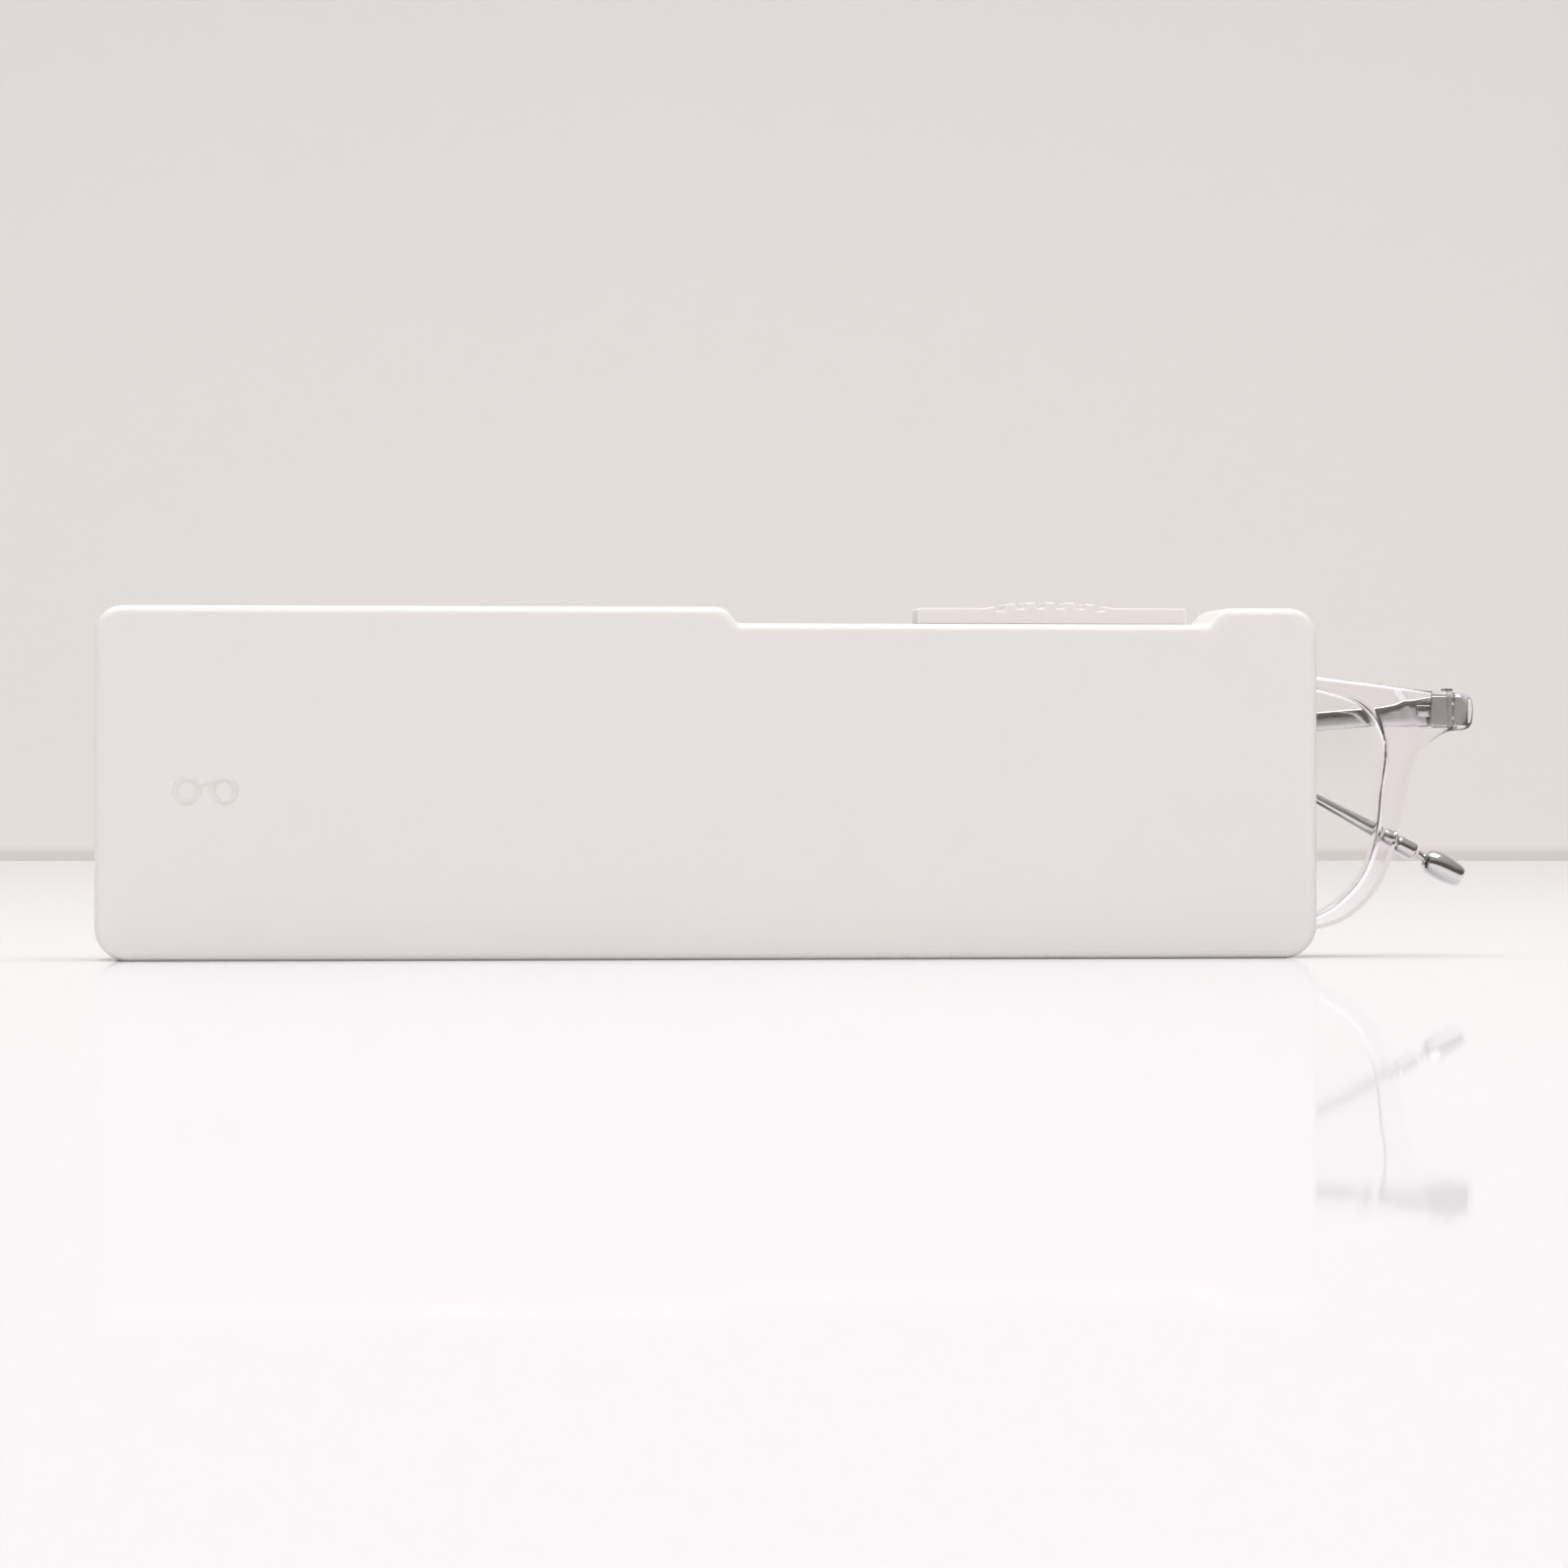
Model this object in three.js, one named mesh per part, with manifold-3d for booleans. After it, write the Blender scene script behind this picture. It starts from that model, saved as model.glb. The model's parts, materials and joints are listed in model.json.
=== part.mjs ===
// A slim slide-out glasses case with a folded pair of glasses part-way out of its mouth.
// Millimetres, +Z up. The origin is the middle of the flat underside that the case stands on.
// X runs along the case and the mouth is at +X. The case's broad front faces -Y.
// "left" and "right" on the glasses are the wearer's, so left is at +X.

import * as THREE from 'three';
import { mergeVertices } from 'three/addons/utils/BufferGeometryUtils.js';
import Module from 'manifold-3d';

const wasm = await Module();
wasm.setup();

// ---------------------------------------------------------------- driving dimensions

const RIGHT_ANGLE = Math.PI / 2;
const GAP = 0.3;                    // between neighbouring pieces

// Case
const CASE_LENGTH = 156.5;
const CASE_THICKNESS = 16;
const CASE_HEIGHT = 45;
const WALL = 1.4;
const TOP_CORNER = 3.6;             // corner radii seen from the front
const BOTTOM_CORNER = 4.3;
const EDGE_FILLET = 1.1;             // round along every long edge
const SEAM_Y = 4;                   // the front shell is the deeper tray
const CASE_END = CASE_LENGTH / 2;
const CASE_FACE = CASE_THICKNESS / 2;
const INNER_FACE = CASE_FACE - WALL;

// Thumb recess in the top edge
const RECESS_LEFT = 3.4;            // foot of the left ramp
const RECESS_RIGHT = 64;            // foot of the right ramp
const RECESS_FLOOR = 42.9;
const RAMP_RUN = 1.8;
const RAMP_RISE = CASE_HEIGHT - RECESS_FLOOR;

// Slider
const TRAVEL = 22.4;                // how far the slider pushes the glasses out
const BUTTON_LEFT = 27;
const BUTTON_RIGHT = 62;
const BUTTON_TOP = 45.05;
const BUTTON_WIDTH = 6;
const BUTTON_EDGE = 0.35;
const CROWN_X = 44.2;
const CROWN_HALF = 8.2;
const CROWN_RISE = 0.75;
const RIB_PITCH = 2.59;
const GROOVE_WIDTH = 1.2;
const GROOVE_DEPTH = 0.75;
const GROOVES_EACH_SIDE = 3;
const NECK_LEFT = 40.2;
const NECK_RIGHT = 48.2;
const NECK_HALF_WIDTH = 1.25;
const SLOT_HALF_WIDTH = 1.6;
const SLOT_END_GAP = 0.9;
const SCREW_PLACES = [42.2, 46.2];
const SCREW_RADIUS = 0.45;
const SCREW_HOLE = 0.75;
const SCREW_HEAD = 1.15;
const SCREW_HEAD_HEIGHT = 0.65;
const COUNTERBORE = 1.5;
const COUNTERBORE_DEPTH = 1;

// Carriage under the top wall
const RAIL_BOTTOM = 38.6;
const RAIL_TOP = 40.4;
const RAIL_HALF_WIDTH = 3.4;
const RAIL_RIGHT = 58;
const LEDGE_BOTTOM = 37.4;
const LEDGE_TOP = RAIL_BOTTOM - GAP;
const LEDGE_LEFT = -74;
const LEDGE_RIGHT = 62;
const LEDGE_INNER = 2.6;
const ARM_THICKNESS = 2;
const ARM_HALF_WIDTH = 2.3;
const ARM_BOTTOM = 27;
const BRACE_LENGTH = 6.6;
const BRACE_HALF_WIDTH = 0.8;
const PAD_THICKNESS = 0.7;

// Soft lining
const LINER_FACE = 6.1;
const LINER_THICKNESS = 0.35;
const LINER_FLOOR = 1.7;
const LINER_TOP = 36.9;

// Glasses front
const BRIDGE_X = 28.9;              // middle of the glasses, when pushed out by TRAVEL
const FRONT_FACE = -5.8;            // outer face of the front at the bridge
const FRONT_THICKNESS = 2.7;
const FRONT_EDGE = 0.45;
const FRONT_BEND = 700;             // radius of the front seen from above
const GLASSES_HALF_WIDTH = 71;
const LENS_CENTRE = new THREE.Vector2(33.9, 19.7);
const LENS_THICKNESS = 1.5;
const LENS_GAP = 0.25;

// Hinges and temples
const HINGE_REACH = 68.3;           // hinge pin from the bridge
const HINGE_Y = 2;
const HINGE_Z = 31.9;
const KNUCKLE_RADIUS = 1.15;
const KNUCKLE_HEIGHT = 1.2;
const KNUCKLE_BORE = 0.75;
const PIN_RADIUS = 0.45;
const MIDDLE_KNUCKLE = 1.6;
const LEAF_LENGTH = 4.4;
const FRAME_LEAF_LENGTH = 2.6;
const FRAME_LEAF_BACK = -0.75;      // in Y from the hinge pin
const FRAME_LEAF_THICKNESS = 0.55;
const BACK_PLATE_FRONT = -1.5;      // thin plate behind the end piece, in Y from the hinge pin
const BACK_PLATE_BACK = -1.22;
const BACK_PLATE_REACH = 2.3;
const BACK_PLATE_MARGIN = 0.3;
const TEMPLE_LEAF_THICKNESS = 0.35;
const TEMPLE_LEAF_OFFSET = 0.05;
const HINGE_HEAD_RADIUS = 0.85;
const HINGE_HEAD_HEIGHT = 0.4;
const TEMPLE_OFFSET = 0.7;          // bar's middle behind the hinge pin
const TEMPLE_SLOPE = THREE.MathUtils.degToRad(4.6);
const EAR_SLOPE = THREE.MathUtils.degToRad(28.3);
const EAR_REACH = 115.6;            // where the two straight stretches would meet
const EAR_RADIUS = 26;
const BAR_START = 1.5;
const ROD_END = 127.9;
const SLEEVE_END = 133;
const TIP_END = 139.1;
const LEFT_LEAN = THREE.MathUtils.degToRad(0.8);
const RIGHT_LEAN = THREE.MathUtils.degToRad(0.5);

// ---------------------------------------------------------------- materials

function finish(color, roughness, metalness, opacity = 1) {
  return new THREE.MeshStandardMaterial({
    color,
    roughness,
    metalness,
    opacity,
    transparent: opacity < 1,
  });
}

const whitePlastic = finish(0xeeeae7, 0.45, 0);
const innerPlastic = finish(0xdcd9d5, 0.5, 0);
const softLining = finish(0xc9c6c2, 0.95, 0);
const silicone = finish(0xe6e4e2, 0.6, 0);
const clearPlastic = finish(0xf2eff0, 0.08, 0, 0.35);
const clearLens = finish(0xf6f8f8, 0.03, 0, 0.2);
const polishedSteel = finish(0xc9c7c6, 0.12, 1);
const springSteel = finish(0xb4b2b0, 0.3, 1);

// ---------------------------------------------------------------- solid helpers

function toSolid(geometry) {
  const bare = geometry.clone();
  bare.deleteAttribute('normal');
  bare.deleteAttribute('uv');
  const merged = mergeVertices(bare, 1e-4);
  return new wasm.Manifold(new wasm.Mesh({
    numProp: 3,
    vertProperties: new Float32Array(merged.attributes.position.array),
    triVerts: new Uint32Array(merged.index.array),
  }));
}

function toGeometry(solid) {
  const mesh = solid.getMesh();
  const geometry = new THREE.BufferGeometry();
  geometry.setAttribute('position', new THREE.BufferAttribute(mesh.vertProperties, 3));
  geometry.setIndex(new THREE.BufferAttribute(mesh.triVerts, 1));
  geometry.computeVertexNormals();
  return geometry;
}

function join(...geometries) {
  return toGeometry(geometries.map(toSolid).reduce((sum, solid) => sum.add(solid)));
}

function cut(body, ...cutters) {
  return toGeometry(cutters.map(toSolid).reduce((rest, cutter) => rest.subtract(cutter), toSolid(body)));
}

function common(a, b) {
  return toGeometry(toSolid(a).intersect(toSolid(b)));
}

// The same solid reflected in X.
function mirrored(geometry) {
  return toGeometry(toSolid(geometry).mirror([1, 0, 0]));
}

// A box from its lowest and highest corners.
function block(low, high) {
  const geometry = new THREE.BoxGeometry(high[0] - low[0], high[1] - low[1], high[2] - low[2]);
  return geometry.translate((high[0] + low[0]) / 2, (high[1] + low[1]) / 2, (high[2] + low[2]) / 2);
}

// An upright cylinder.
function post(x, y, radius, zLow, zHigh, sides = 16) {
  const geometry = new THREE.CylinderGeometry(radius, radius, zHigh - zLow, sides);
  return geometry.rotateX(RIGHT_ANGLE).translate(x, y, (zLow + zHigh) / 2);
}

// An outline drawn in X and Z, made solid between two values of Y.
// A positive edge rounds the solid's rims, and a negative one flares them.
function plate(outline, yLow, yHigh, edge = 0, edgeSteps = 3, curveSteps = 8) {
  const round = Math.abs(edge);
  const geometry = new THREE.ExtrudeGeometry(outline, {
    depth: yHigh - yLow - 2 * round,
    curveSegments: curveSteps,
    bevelEnabled: round > 0,
    bevelThickness: round,
    bevelSize: edge,
    bevelOffset: -edge,
    bevelSegments: edgeSteps,
  });
  return geometry.rotateX(RIGHT_ANGLE).translate(0, yHigh - round, 0);
}

// An outline drawn in Y and Z, made solid between two values of X.
function barAlongX(outline, xLow, xHigh) {
  const geometry = new THREE.ExtrudeGeometry(outline, { depth: xHigh - xLow, bevelEnabled: false });
  return geometry.rotateX(RIGHT_ANGLE).rotateZ(RIGHT_ANGLE).translate(xLow, 0, 0);
}

function polygon(points) {
  return new THREE.Shape(points.map(([a, b]) => new THREE.Vector2(a, b)));
}

// Closed smooth outline through a few points.
function smoothOutline(points, steps) {
  const curve = new THREE.CatmullRomCurve3(
    points.map(([x, z]) => new THREE.Vector3(x, z, 0)), true, 'centripetal');
  return curve.getSpacedPoints(steps).slice(0, steps).map((p) => new THREE.Vector2(p.x, p.y));
}

const model = new THREE.Group();

function piece(name, geometry, material, parent = model) {
  const mesh = new THREE.Mesh(geometry, material);
  mesh.name = name;
  parent.add(mesh);
  return mesh;
}

// ---------------------------------------------------------------- case

function caseOutline() {
  const outline = new THREE.Shape();
  const low = -CASE_END;
  const high = CASE_END;
  outline.moveTo(low + BOTTOM_CORNER, 0);
  outline.lineTo(high - BOTTOM_CORNER, 0);
  outline.absarc(high - BOTTOM_CORNER, BOTTOM_CORNER, BOTTOM_CORNER, -RIGHT_ANGLE, 0);
  outline.lineTo(high, CASE_HEIGHT - TOP_CORNER);
  outline.absarc(high - TOP_CORNER, CASE_HEIGHT - TOP_CORNER, TOP_CORNER, 0, RIGHT_ANGLE);
  outline.lineTo(low + TOP_CORNER, CASE_HEIGHT);
  outline.absarc(low + TOP_CORNER, CASE_HEIGHT - TOP_CORNER, TOP_CORNER, RIGHT_ANGLE, Math.PI);
  outline.lineTo(low, BOTTOM_CORNER);
  outline.absarc(low + BOTTOM_CORNER, BOTTOM_CORNER, BOTTOM_CORNER, Math.PI, 3 * RIGHT_ANGLE);
  return outline;
}

function recessCutter() {
  const above = 4;
  const run = RAMP_RUN * (RAMP_RISE + above) / RAMP_RISE;
  const outline = polygon([
    [RECESS_LEFT, RECESS_FLOOR],
    [RECESS_RIGHT, RECESS_FLOOR],
    [RECESS_RIGHT + run, CASE_HEIGHT + above],
    [RECESS_LEFT - run, CASE_HEIGHT + above],
  ]);
  const overshoot = 0.01;
  return plate(outline, -CASE_FACE - overshoot, CASE_FACE + overshoot, -EDGE_FILLET);
}

function cavity() {
  const ceiling = CASE_HEIGHT - WALL;
  const lowCeiling = RECESS_FLOOR - WALL;
  const beyondMouth = CASE_END + 2;
  const outline = polygon([
    [-CASE_END + WALL, WALL],
    [beyondMouth, WALL],
    [beyondMouth, ceiling],
    [RECESS_RIGHT + RAMP_RUN + WALL, ceiling],
    [RECESS_RIGHT + WALL, lowCeiling],
    [RECESS_LEFT - WALL, lowCeiling],
    [RECESS_LEFT - RAMP_RUN - WALL, ceiling],
    [-CASE_END + WALL, ceiling],
  ]);
  return plate(outline, -INNER_FACE, INNER_FACE);
}

function sliderSlot() {
  const left = NECK_LEFT - TRAVEL - SLOT_END_GAP + SLOT_HALF_WIDTH;
  const right = NECK_RIGHT + SLOT_END_GAP - SLOT_HALF_WIDTH;
  const outline = new THREE.Shape();
  outline.absarc(right, 0, SLOT_HALF_WIDTH, -RIGHT_ANGLE, RIGHT_ANGLE);
  outline.absarc(left, 0, SLOT_HALF_WIDTH, RIGHT_ANGLE, 3 * RIGHT_ANGLE);
  const geometry = new THREE.ExtrudeGeometry(outline, {
    depth: 3 * WALL,
    curveSegments: 8,
    bevelEnabled: false,
  });
  return geometry.translate(0, 0, RECESS_FLOOR - 2 * WALL);
}

// A plain pair of round spectacles, pressed lightly into the front.
const EMBLEM_X = -64.3;
const EMBLEM_Z = 21.5;
const EMBLEM_DEPTH = 0.25;
const EMBLEM_RING = 1.75;
const EMBLEM_STROKE = 0.75;
const EMBLEM_SPACING = 2.35;

function emblemCutters() {
  const top = -CASE_FACE + EMBLEM_DEPTH;
  const bottom = -CASE_FACE - 1;
  const rings = [-1, 1].map((side) => {
    const ring = new THREE.Shape();
    const x = EMBLEM_X + side * EMBLEM_SPACING;
    ring.absarc(x, EMBLEM_Z, EMBLEM_RING, 0, 2 * Math.PI);
    const hole = new THREE.Path();
    hole.absarc(x, EMBLEM_Z, EMBLEM_RING - EMBLEM_STROKE, 0, 2 * Math.PI);
    ring.holes.push(hole);
    return plate(ring, bottom, top);
  });
  const halfBridge = EMBLEM_SPACING - EMBLEM_RING + 0.2;
  const bridge = block(
    [EMBLEM_X - halfBridge, bottom, EMBLEM_Z],
    [EMBLEM_X + halfBridge, top, EMBLEM_Z + EMBLEM_STROKE]);
  return [...rings, bridge];
}

const hollowCase = cut(
  plate(caseOutline(), -CASE_FACE, CASE_FACE, EDGE_FILLET),
  recessCutter(),
  cavity(),
  sliderSlot(),
  ...emblemCutters());

function halfOfCase(yLow, yHigh) {
  return common(hollowCase, block([-CASE_LENGTH, yLow, -1], [CASE_LENGTH, yHigh, CASE_HEIGHT + 1]));
}

// Ledge that carries one edge of the rail. It runs into the wall to be one with it.
function ledge(yLow, yHigh) {
  return block([LEDGE_LEFT, yLow, LEDGE_BOTTOM], [LEDGE_RIGHT, yHigh, LEDGE_TOP]);
}

const intoWall = INNER_FACE + WALL / 2;
piece('case_front_shell',
  join(halfOfCase(-CASE_THICKNESS, SEAM_Y), ledge(-intoWall, -LEDGE_INNER)), whitePlastic);
piece('case_back_shell',
  join(halfOfCase(SEAM_Y + GAP, CASE_THICKNESS), ledge(LEDGE_INNER, intoWall)), whitePlastic);

function linerOutline() {
  const outer = LINER_FACE + LINER_THICKNESS;
  const inner = LINER_FACE;
  return polygon([
    [-outer, LINER_FLOOR],
    [outer, LINER_FLOOR],
    [outer, LINER_TOP],
    [inner, LINER_TOP],
    [inner, LINER_FLOOR + LINER_THICKNESS],
    [-inner, LINER_FLOOR + LINER_THICKNESS],
    [-inner, LINER_TOP],
    [-outer, LINER_TOP],
  ]);
}

piece('felt_liner', barAlongX(linerOutline(), -CASE_END + 2 * WALL, CASE_END - 2 * WALL), softLining);

// ---------------------------------------------------------------- slider and carriage

function crown(x) {
  const away = Math.min(Math.abs(x - CROWN_X) / CROWN_HALF, 1);
  return BUTTON_TOP + CROWN_RISE * (1 - away ** 3);
}

function buttonOutline() {
  const points = [[BUTTON_LEFT, RECESS_FLOOR + GAP], [BUTTON_RIGHT, RECESS_FLOOR + GAP]];
  points.push([BUTTON_RIGHT, BUTTON_TOP]);
  const steps = 20;
  for (let i = 0; i <= steps; i += 1) {
    const x = CROWN_X + CROWN_HALF * (1 - 2 * i / steps);
    points.push([x, crown(x)]);
  }
  points.push([BUTTON_LEFT, BUTTON_TOP]);
  return polygon(points);
}

function grooveCutters() {
  const cutters = [];
  for (let i = 0; i < GROOVES_EACH_SIDE; i += 1) {
    for (const side of [-1, 1]) {
      const x = CROWN_X + side * (i + 0.5) * RIB_PITCH;
      cutters.push(block(
        [x - GROOVE_WIDTH / 2, -BUTTON_WIDTH, crown(x) - GROOVE_DEPTH],
        [x + GROOVE_WIDTH / 2, BUTTON_WIDTH, CASE_HEIGHT + 2]));
    }
  }
  return cutters;
}

function sliderButton() {
  const cap = plate(buttonOutline(), -BUTTON_WIDTH / 2, BUTTON_WIDTH / 2, BUTTON_EDGE, 2);
  const neck = block(
    [NECK_LEFT, -NECK_HALF_WIDTH, RAIL_TOP + GAP],
    [NECK_RIGHT, NECK_HALF_WIDTH, RECESS_FLOOR + 1]);
  const screwBores = SCREW_PLACES.map((x) => post(x, 0, SCREW_HOLE, RAIL_TOP, RECESS_FLOOR));
  return cut(join(cap, neck), ...grooveCutters(), ...screwBores);
}

piece('slider_button', sliderButton(), whitePlastic);

const GLASSES_LEFT_END = BRIDGE_X - GLASSES_HALF_WIDTH;
const PAD_FRONT = GLASSES_LEFT_END - GAP;
const ARM_FRONT = PAD_FRONT - PAD_THICKNESS - GAP;
const ARM_BACK = ARM_FRONT - ARM_THICKNESS;

function carriageRail() {
  const rail = block(
    [ARM_BACK - BRACE_LENGTH, -RAIL_HALF_WIDTH, RAIL_BOTTOM],
    [RAIL_RIGHT, RAIL_HALF_WIDTH, RAIL_TOP]);
  const arm = block(
    [ARM_BACK, -ARM_HALF_WIDTH, ARM_BOTTOM],
    [ARM_FRONT, ARM_HALF_WIDTH, RAIL_TOP]);
  const brace = plate(polygon([
    [ARM_BACK - BRACE_LENGTH, RAIL_BOTTOM + GAP],
    [ARM_BACK + GAP, RAIL_BOTTOM - BRACE_LENGTH],
    [ARM_BACK + GAP, RAIL_BOTTOM + GAP],
  ]), -BRACE_HALF_WIDTH, BRACE_HALF_WIDTH);
  const holes = SCREW_PLACES.map((x) => post(x, 0, SCREW_HOLE, RAIL_BOTTOM - 1, RAIL_TOP + 1));
  const counterbores = SCREW_PLACES.map(
    (x) => post(x, 0, COUNTERBORE, RAIL_BOTTOM - 1, RAIL_BOTTOM + COUNTERBORE_DEPTH));
  return cut(join(rail, arm, brace), ...holes, ...counterbores);
}

piece('carriage_rail', carriageRail(), innerPlastic);

const PAD_BOTTOM = ARM_BOTTOM + 1;
const PAD_HEIGHT = 8;

piece('pusher_pad', block(
  [PAD_FRONT - PAD_THICKNESS, -ARM_HALF_WIDTH + GAP, PAD_BOTTOM],
  [PAD_FRONT, ARM_HALF_WIDTH - GAP, PAD_BOTTOM + PAD_HEIGHT]), silicone);

// A small screw standing on its head.
function screw(x, y, headLow, headRadius, headHeight, shankRadius, shankTop) {
  const head = post(x, y, headRadius, headLow, headLow + headHeight);
  const shank = post(x, y, shankRadius, headLow + headHeight / 2, shankTop);
  return join(head, shank);
}

SCREW_PLACES.forEach((x, i) => {
  const headLow = RAIL_BOTTOM + 0.05;
  const tip = RECESS_FLOOR - 0.5;
  piece(`slider_screw_${i + 1}`,
    screw(x, 0, headLow, SCREW_HEAD, SCREW_HEAD_HEIGHT, SCREW_RADIUS, tip), polishedSteel);
});

// Bent leaf that rubs on the ceiling beside the slot and clicks at each end of the travel.
const SPRING_LEFT = 50;
const SPRING_LENGTH = 7;
const SPRING_THICKNESS = 0.25;
const SPRING_BUMP = 0.5;

function detentSpring() {
  const low = [];
  const high = [];
  const steps = 10;
  for (let i = 0; i <= steps; i += 1) {
    const t = i / steps;
    const z = RAIL_TOP + GAP + SPRING_BUMP * Math.sin(Math.PI * t) ** 2;
    low.push([SPRING_LEFT + SPRING_LENGTH * t, z]);
    high.unshift([SPRING_LEFT + SPRING_LENGTH * t, z + SPRING_THICKNESS]);
  }
  return plate(polygon([...low, ...high]), SLOT_HALF_WIDTH + GAP, RAIL_HALF_WIDTH - 0.2);
}

piece('detent_spring', detentSpring(), springSteel);

// ---------------------------------------------------------------- glasses front

// Half of the front's outline, from the top of the bridge round to its underside.
// First numbers are the distance from the bridge, second ones the height.
const HALF_FRONT = [
  [5, 33.4], [11, 35.4], [22, 36.8], [34, 37], [45, 36.7], [56, 35.6], [65.5, 34.5],
  [69.8, 34.2], [70.7, 33.8], [71, 33],
  [71, 31.2], [70.8, 30.1], [70.2, 29.5], [67.4, 29.1], [64.1, 26.8],
  [62.7, 24], [61.7, 19.6], [60.9, 15.8], [59.6, 11.6], [57.6, 8], [54, 4.9],
  [49.8, 3.5], [42.5, 2.75], [33.9, 2.6], [24, 3], [15.4, 5.6], [10.4, 10.4],
  [7.5, 16], [5.9, 20.4], [3.4, 23.9],
];

// Lens outline about its own centre, temple side first.
const LENS_OUTLINE = [
  [25.4, 6.6], [25, 9.4], [22.6, 12.8], [16.4, 15], [6, 15.6], [-8, 15.6], [-18.6, 14.9],
  [-23.6, 12.4], [-25.4, 7.6], [-25, 2], [-23.4, -4], [-20.2, -9.6], [-14.6, -13.8],
  [-6, -15.5], [4, -15.7], [13, -15.2], [18.3, -13.2], [22.4, -9], [24.1, -4], [24.8, 2],
];

function bend(geometry) {
  const position = geometry.attributes.position;
  for (let i = 0; i < position.count; i += 1) {
    const x = position.getX(i);
    position.setY(i, position.getY(i) + x * x / (2 * FRONT_BEND));
  }
  return geometry;
}

function lensPath(side, grow, steps) {
  const points = LENS_OUTLINE.map(([x, z]) => {
    const stretch = 1 + grow / Math.hypot(x, z);
    return [side * (LENS_CENTRE.x + x * stretch), LENS_CENTRE.y + z * stretch];
  });
  return smoothOutline(points, steps);
}

function frontOutline() {
  const rightHalf = [...HALF_FRONT].reverse();
  const leftHalf = HALF_FRONT.map(([x, z]) => [-x, z]);
  const outline = new THREE.Shape(smoothOutline([...rightHalf, ...leftHalf], 220));
  for (const side of [-1, 1]) {
    outline.holes.push(new THREE.Path(lensPath(side, 0, 44)));
  }
  return outline;
}

const glasses = new THREE.Group();
glasses.position.x = BRIDGE_X;
model.add(glasses);

piece('frame_front', bend(plate(
  frontOutline(), FRONT_FACE, FRONT_FACE + FRONT_THICKNESS, FRONT_EDGE, 2)), clearPlastic, glasses);

const lensFace = FRONT_FACE + (FRONT_THICKNESS - LENS_THICKNESS) / 2;

// ---------------------------------------------------------------- hinges and temples

const knuckleLow = HINGE_Z - MIDDLE_KNUCKLE / 2 - GAP;
const knuckleHigh = HINGE_Z + MIDDLE_KNUCKLE / 2 + GAP;

// Frame half of the hinge: two knuckles, a leaf and a thin plate on the back of the end piece.
function frameHinge() {
  const leaf = block(
    [-FRAME_LEAF_LENGTH, FRAME_LEAF_BACK - FRAME_LEAF_THICKNESS, knuckleLow - KNUCKLE_HEIGHT],
    [0, FRAME_LEAF_BACK, knuckleHigh + KNUCKLE_HEIGHT]);
  const backPlate = block(
    [-FRAME_LEAF_LENGTH, BACK_PLATE_FRONT, knuckleLow - KNUCKLE_HEIGHT + BACK_PLATE_MARGIN],
    [BACK_PLATE_REACH, BACK_PLATE_BACK, knuckleHigh + KNUCKLE_HEIGHT - BACK_PLATE_MARGIN]);
  const lower = post(0, 0, KNUCKLE_RADIUS, knuckleLow - KNUCKLE_HEIGHT, knuckleLow);
  const upper = post(0, 0, KNUCKLE_RADIUS, knuckleHigh, knuckleHigh + KNUCKLE_HEIGHT);
  const clearance = post(0, 0, KNUCKLE_RADIUS + GAP, knuckleLow, knuckleHigh, 24);
  const bore = post(0, 0, KNUCKLE_BORE, 0, CASE_HEIGHT);
  return join(cut(join(leaf, lower, upper), clearance, bore), backPlate);
}

// Temple half of the hinge: the middle knuckle and a short leaf in front of the bar.
function templeHinge(side) {
  const middle = -side * (TEMPLE_LEAF_OFFSET + TEMPLE_LEAF_THICKNESS / 2);
  const leaf = block(
    [0, middle - TEMPLE_LEAF_THICKNESS / 2, HINGE_Z - MIDDLE_KNUCKLE / 2],
    [LEAF_LENGTH, middle + TEMPLE_LEAF_THICKNESS / 2, HINGE_Z + MIDDLE_KNUCKLE / 2]);
  const knuckle = post(0, 0, KNUCKLE_RADIUS, HINGE_Z - MIDDLE_KNUCKLE / 2, HINGE_Z + MIDDLE_KNUCKLE / 2);
  const bore = post(0, 0, KNUCKLE_BORE, 0, CASE_HEIGHT);
  return cut(join(leaf, knuckle), bore);
}

// Middle line of a temple in its own X and Z: straight, one arc behind the ear, straight.
const bendAngle = EAR_SLOPE - TEMPLE_SLOPE;
const tangentLength = EAR_RADIUS * Math.tan(bendAngle / 2);
const arcStart = EAR_REACH - tangentLength * Math.cos(TEMPLE_SLOPE);
const arcEnd = EAR_REACH + tangentLength * Math.cos(EAR_SLOPE);
const earZ = HINGE_Z - EAR_REACH * Math.tan(TEMPLE_SLOPE);

function templeHeight(x) {
  if (x <= arcStart) return HINGE_Z - x * Math.tan(TEMPLE_SLOPE);
  if (x >= arcEnd) return earZ - (x - EAR_REACH) * Math.tan(EAR_SLOPE);
  const arcCentreX = arcStart - EAR_RADIUS * Math.sin(TEMPLE_SLOPE);
  const arcCentreZ = HINGE_Z - arcStart * Math.tan(TEMPLE_SLOPE) - EAR_RADIUS * Math.cos(TEMPLE_SLOPE);
  return arcCentreZ + Math.sqrt(EAR_RADIUS ** 2 - (x - arcCentreX) ** 2);
}

// Half width and half height of the temple: a flat bar that turns into a thin round rod, which
// flares a little before the sleeve.
const BAR_HALF_WIDTH = 0.4;
const BAR_ROOT_HALF_HEIGHT = 2.1;
const BAR_HALF_HEIGHT = 1.25;
const BAR_TAPER_END = 10;
const ROUNDING_START = 20;
const ROD_RADIUS = 0.64;
const ROD_START = 100;
const ROD_FLARE = 0.31;
const FLARE_START = 119;
const SQUARE_CORNERS = 0.35;        // exponent of the section: 1 is an ellipse, 0 a rectangle

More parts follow.
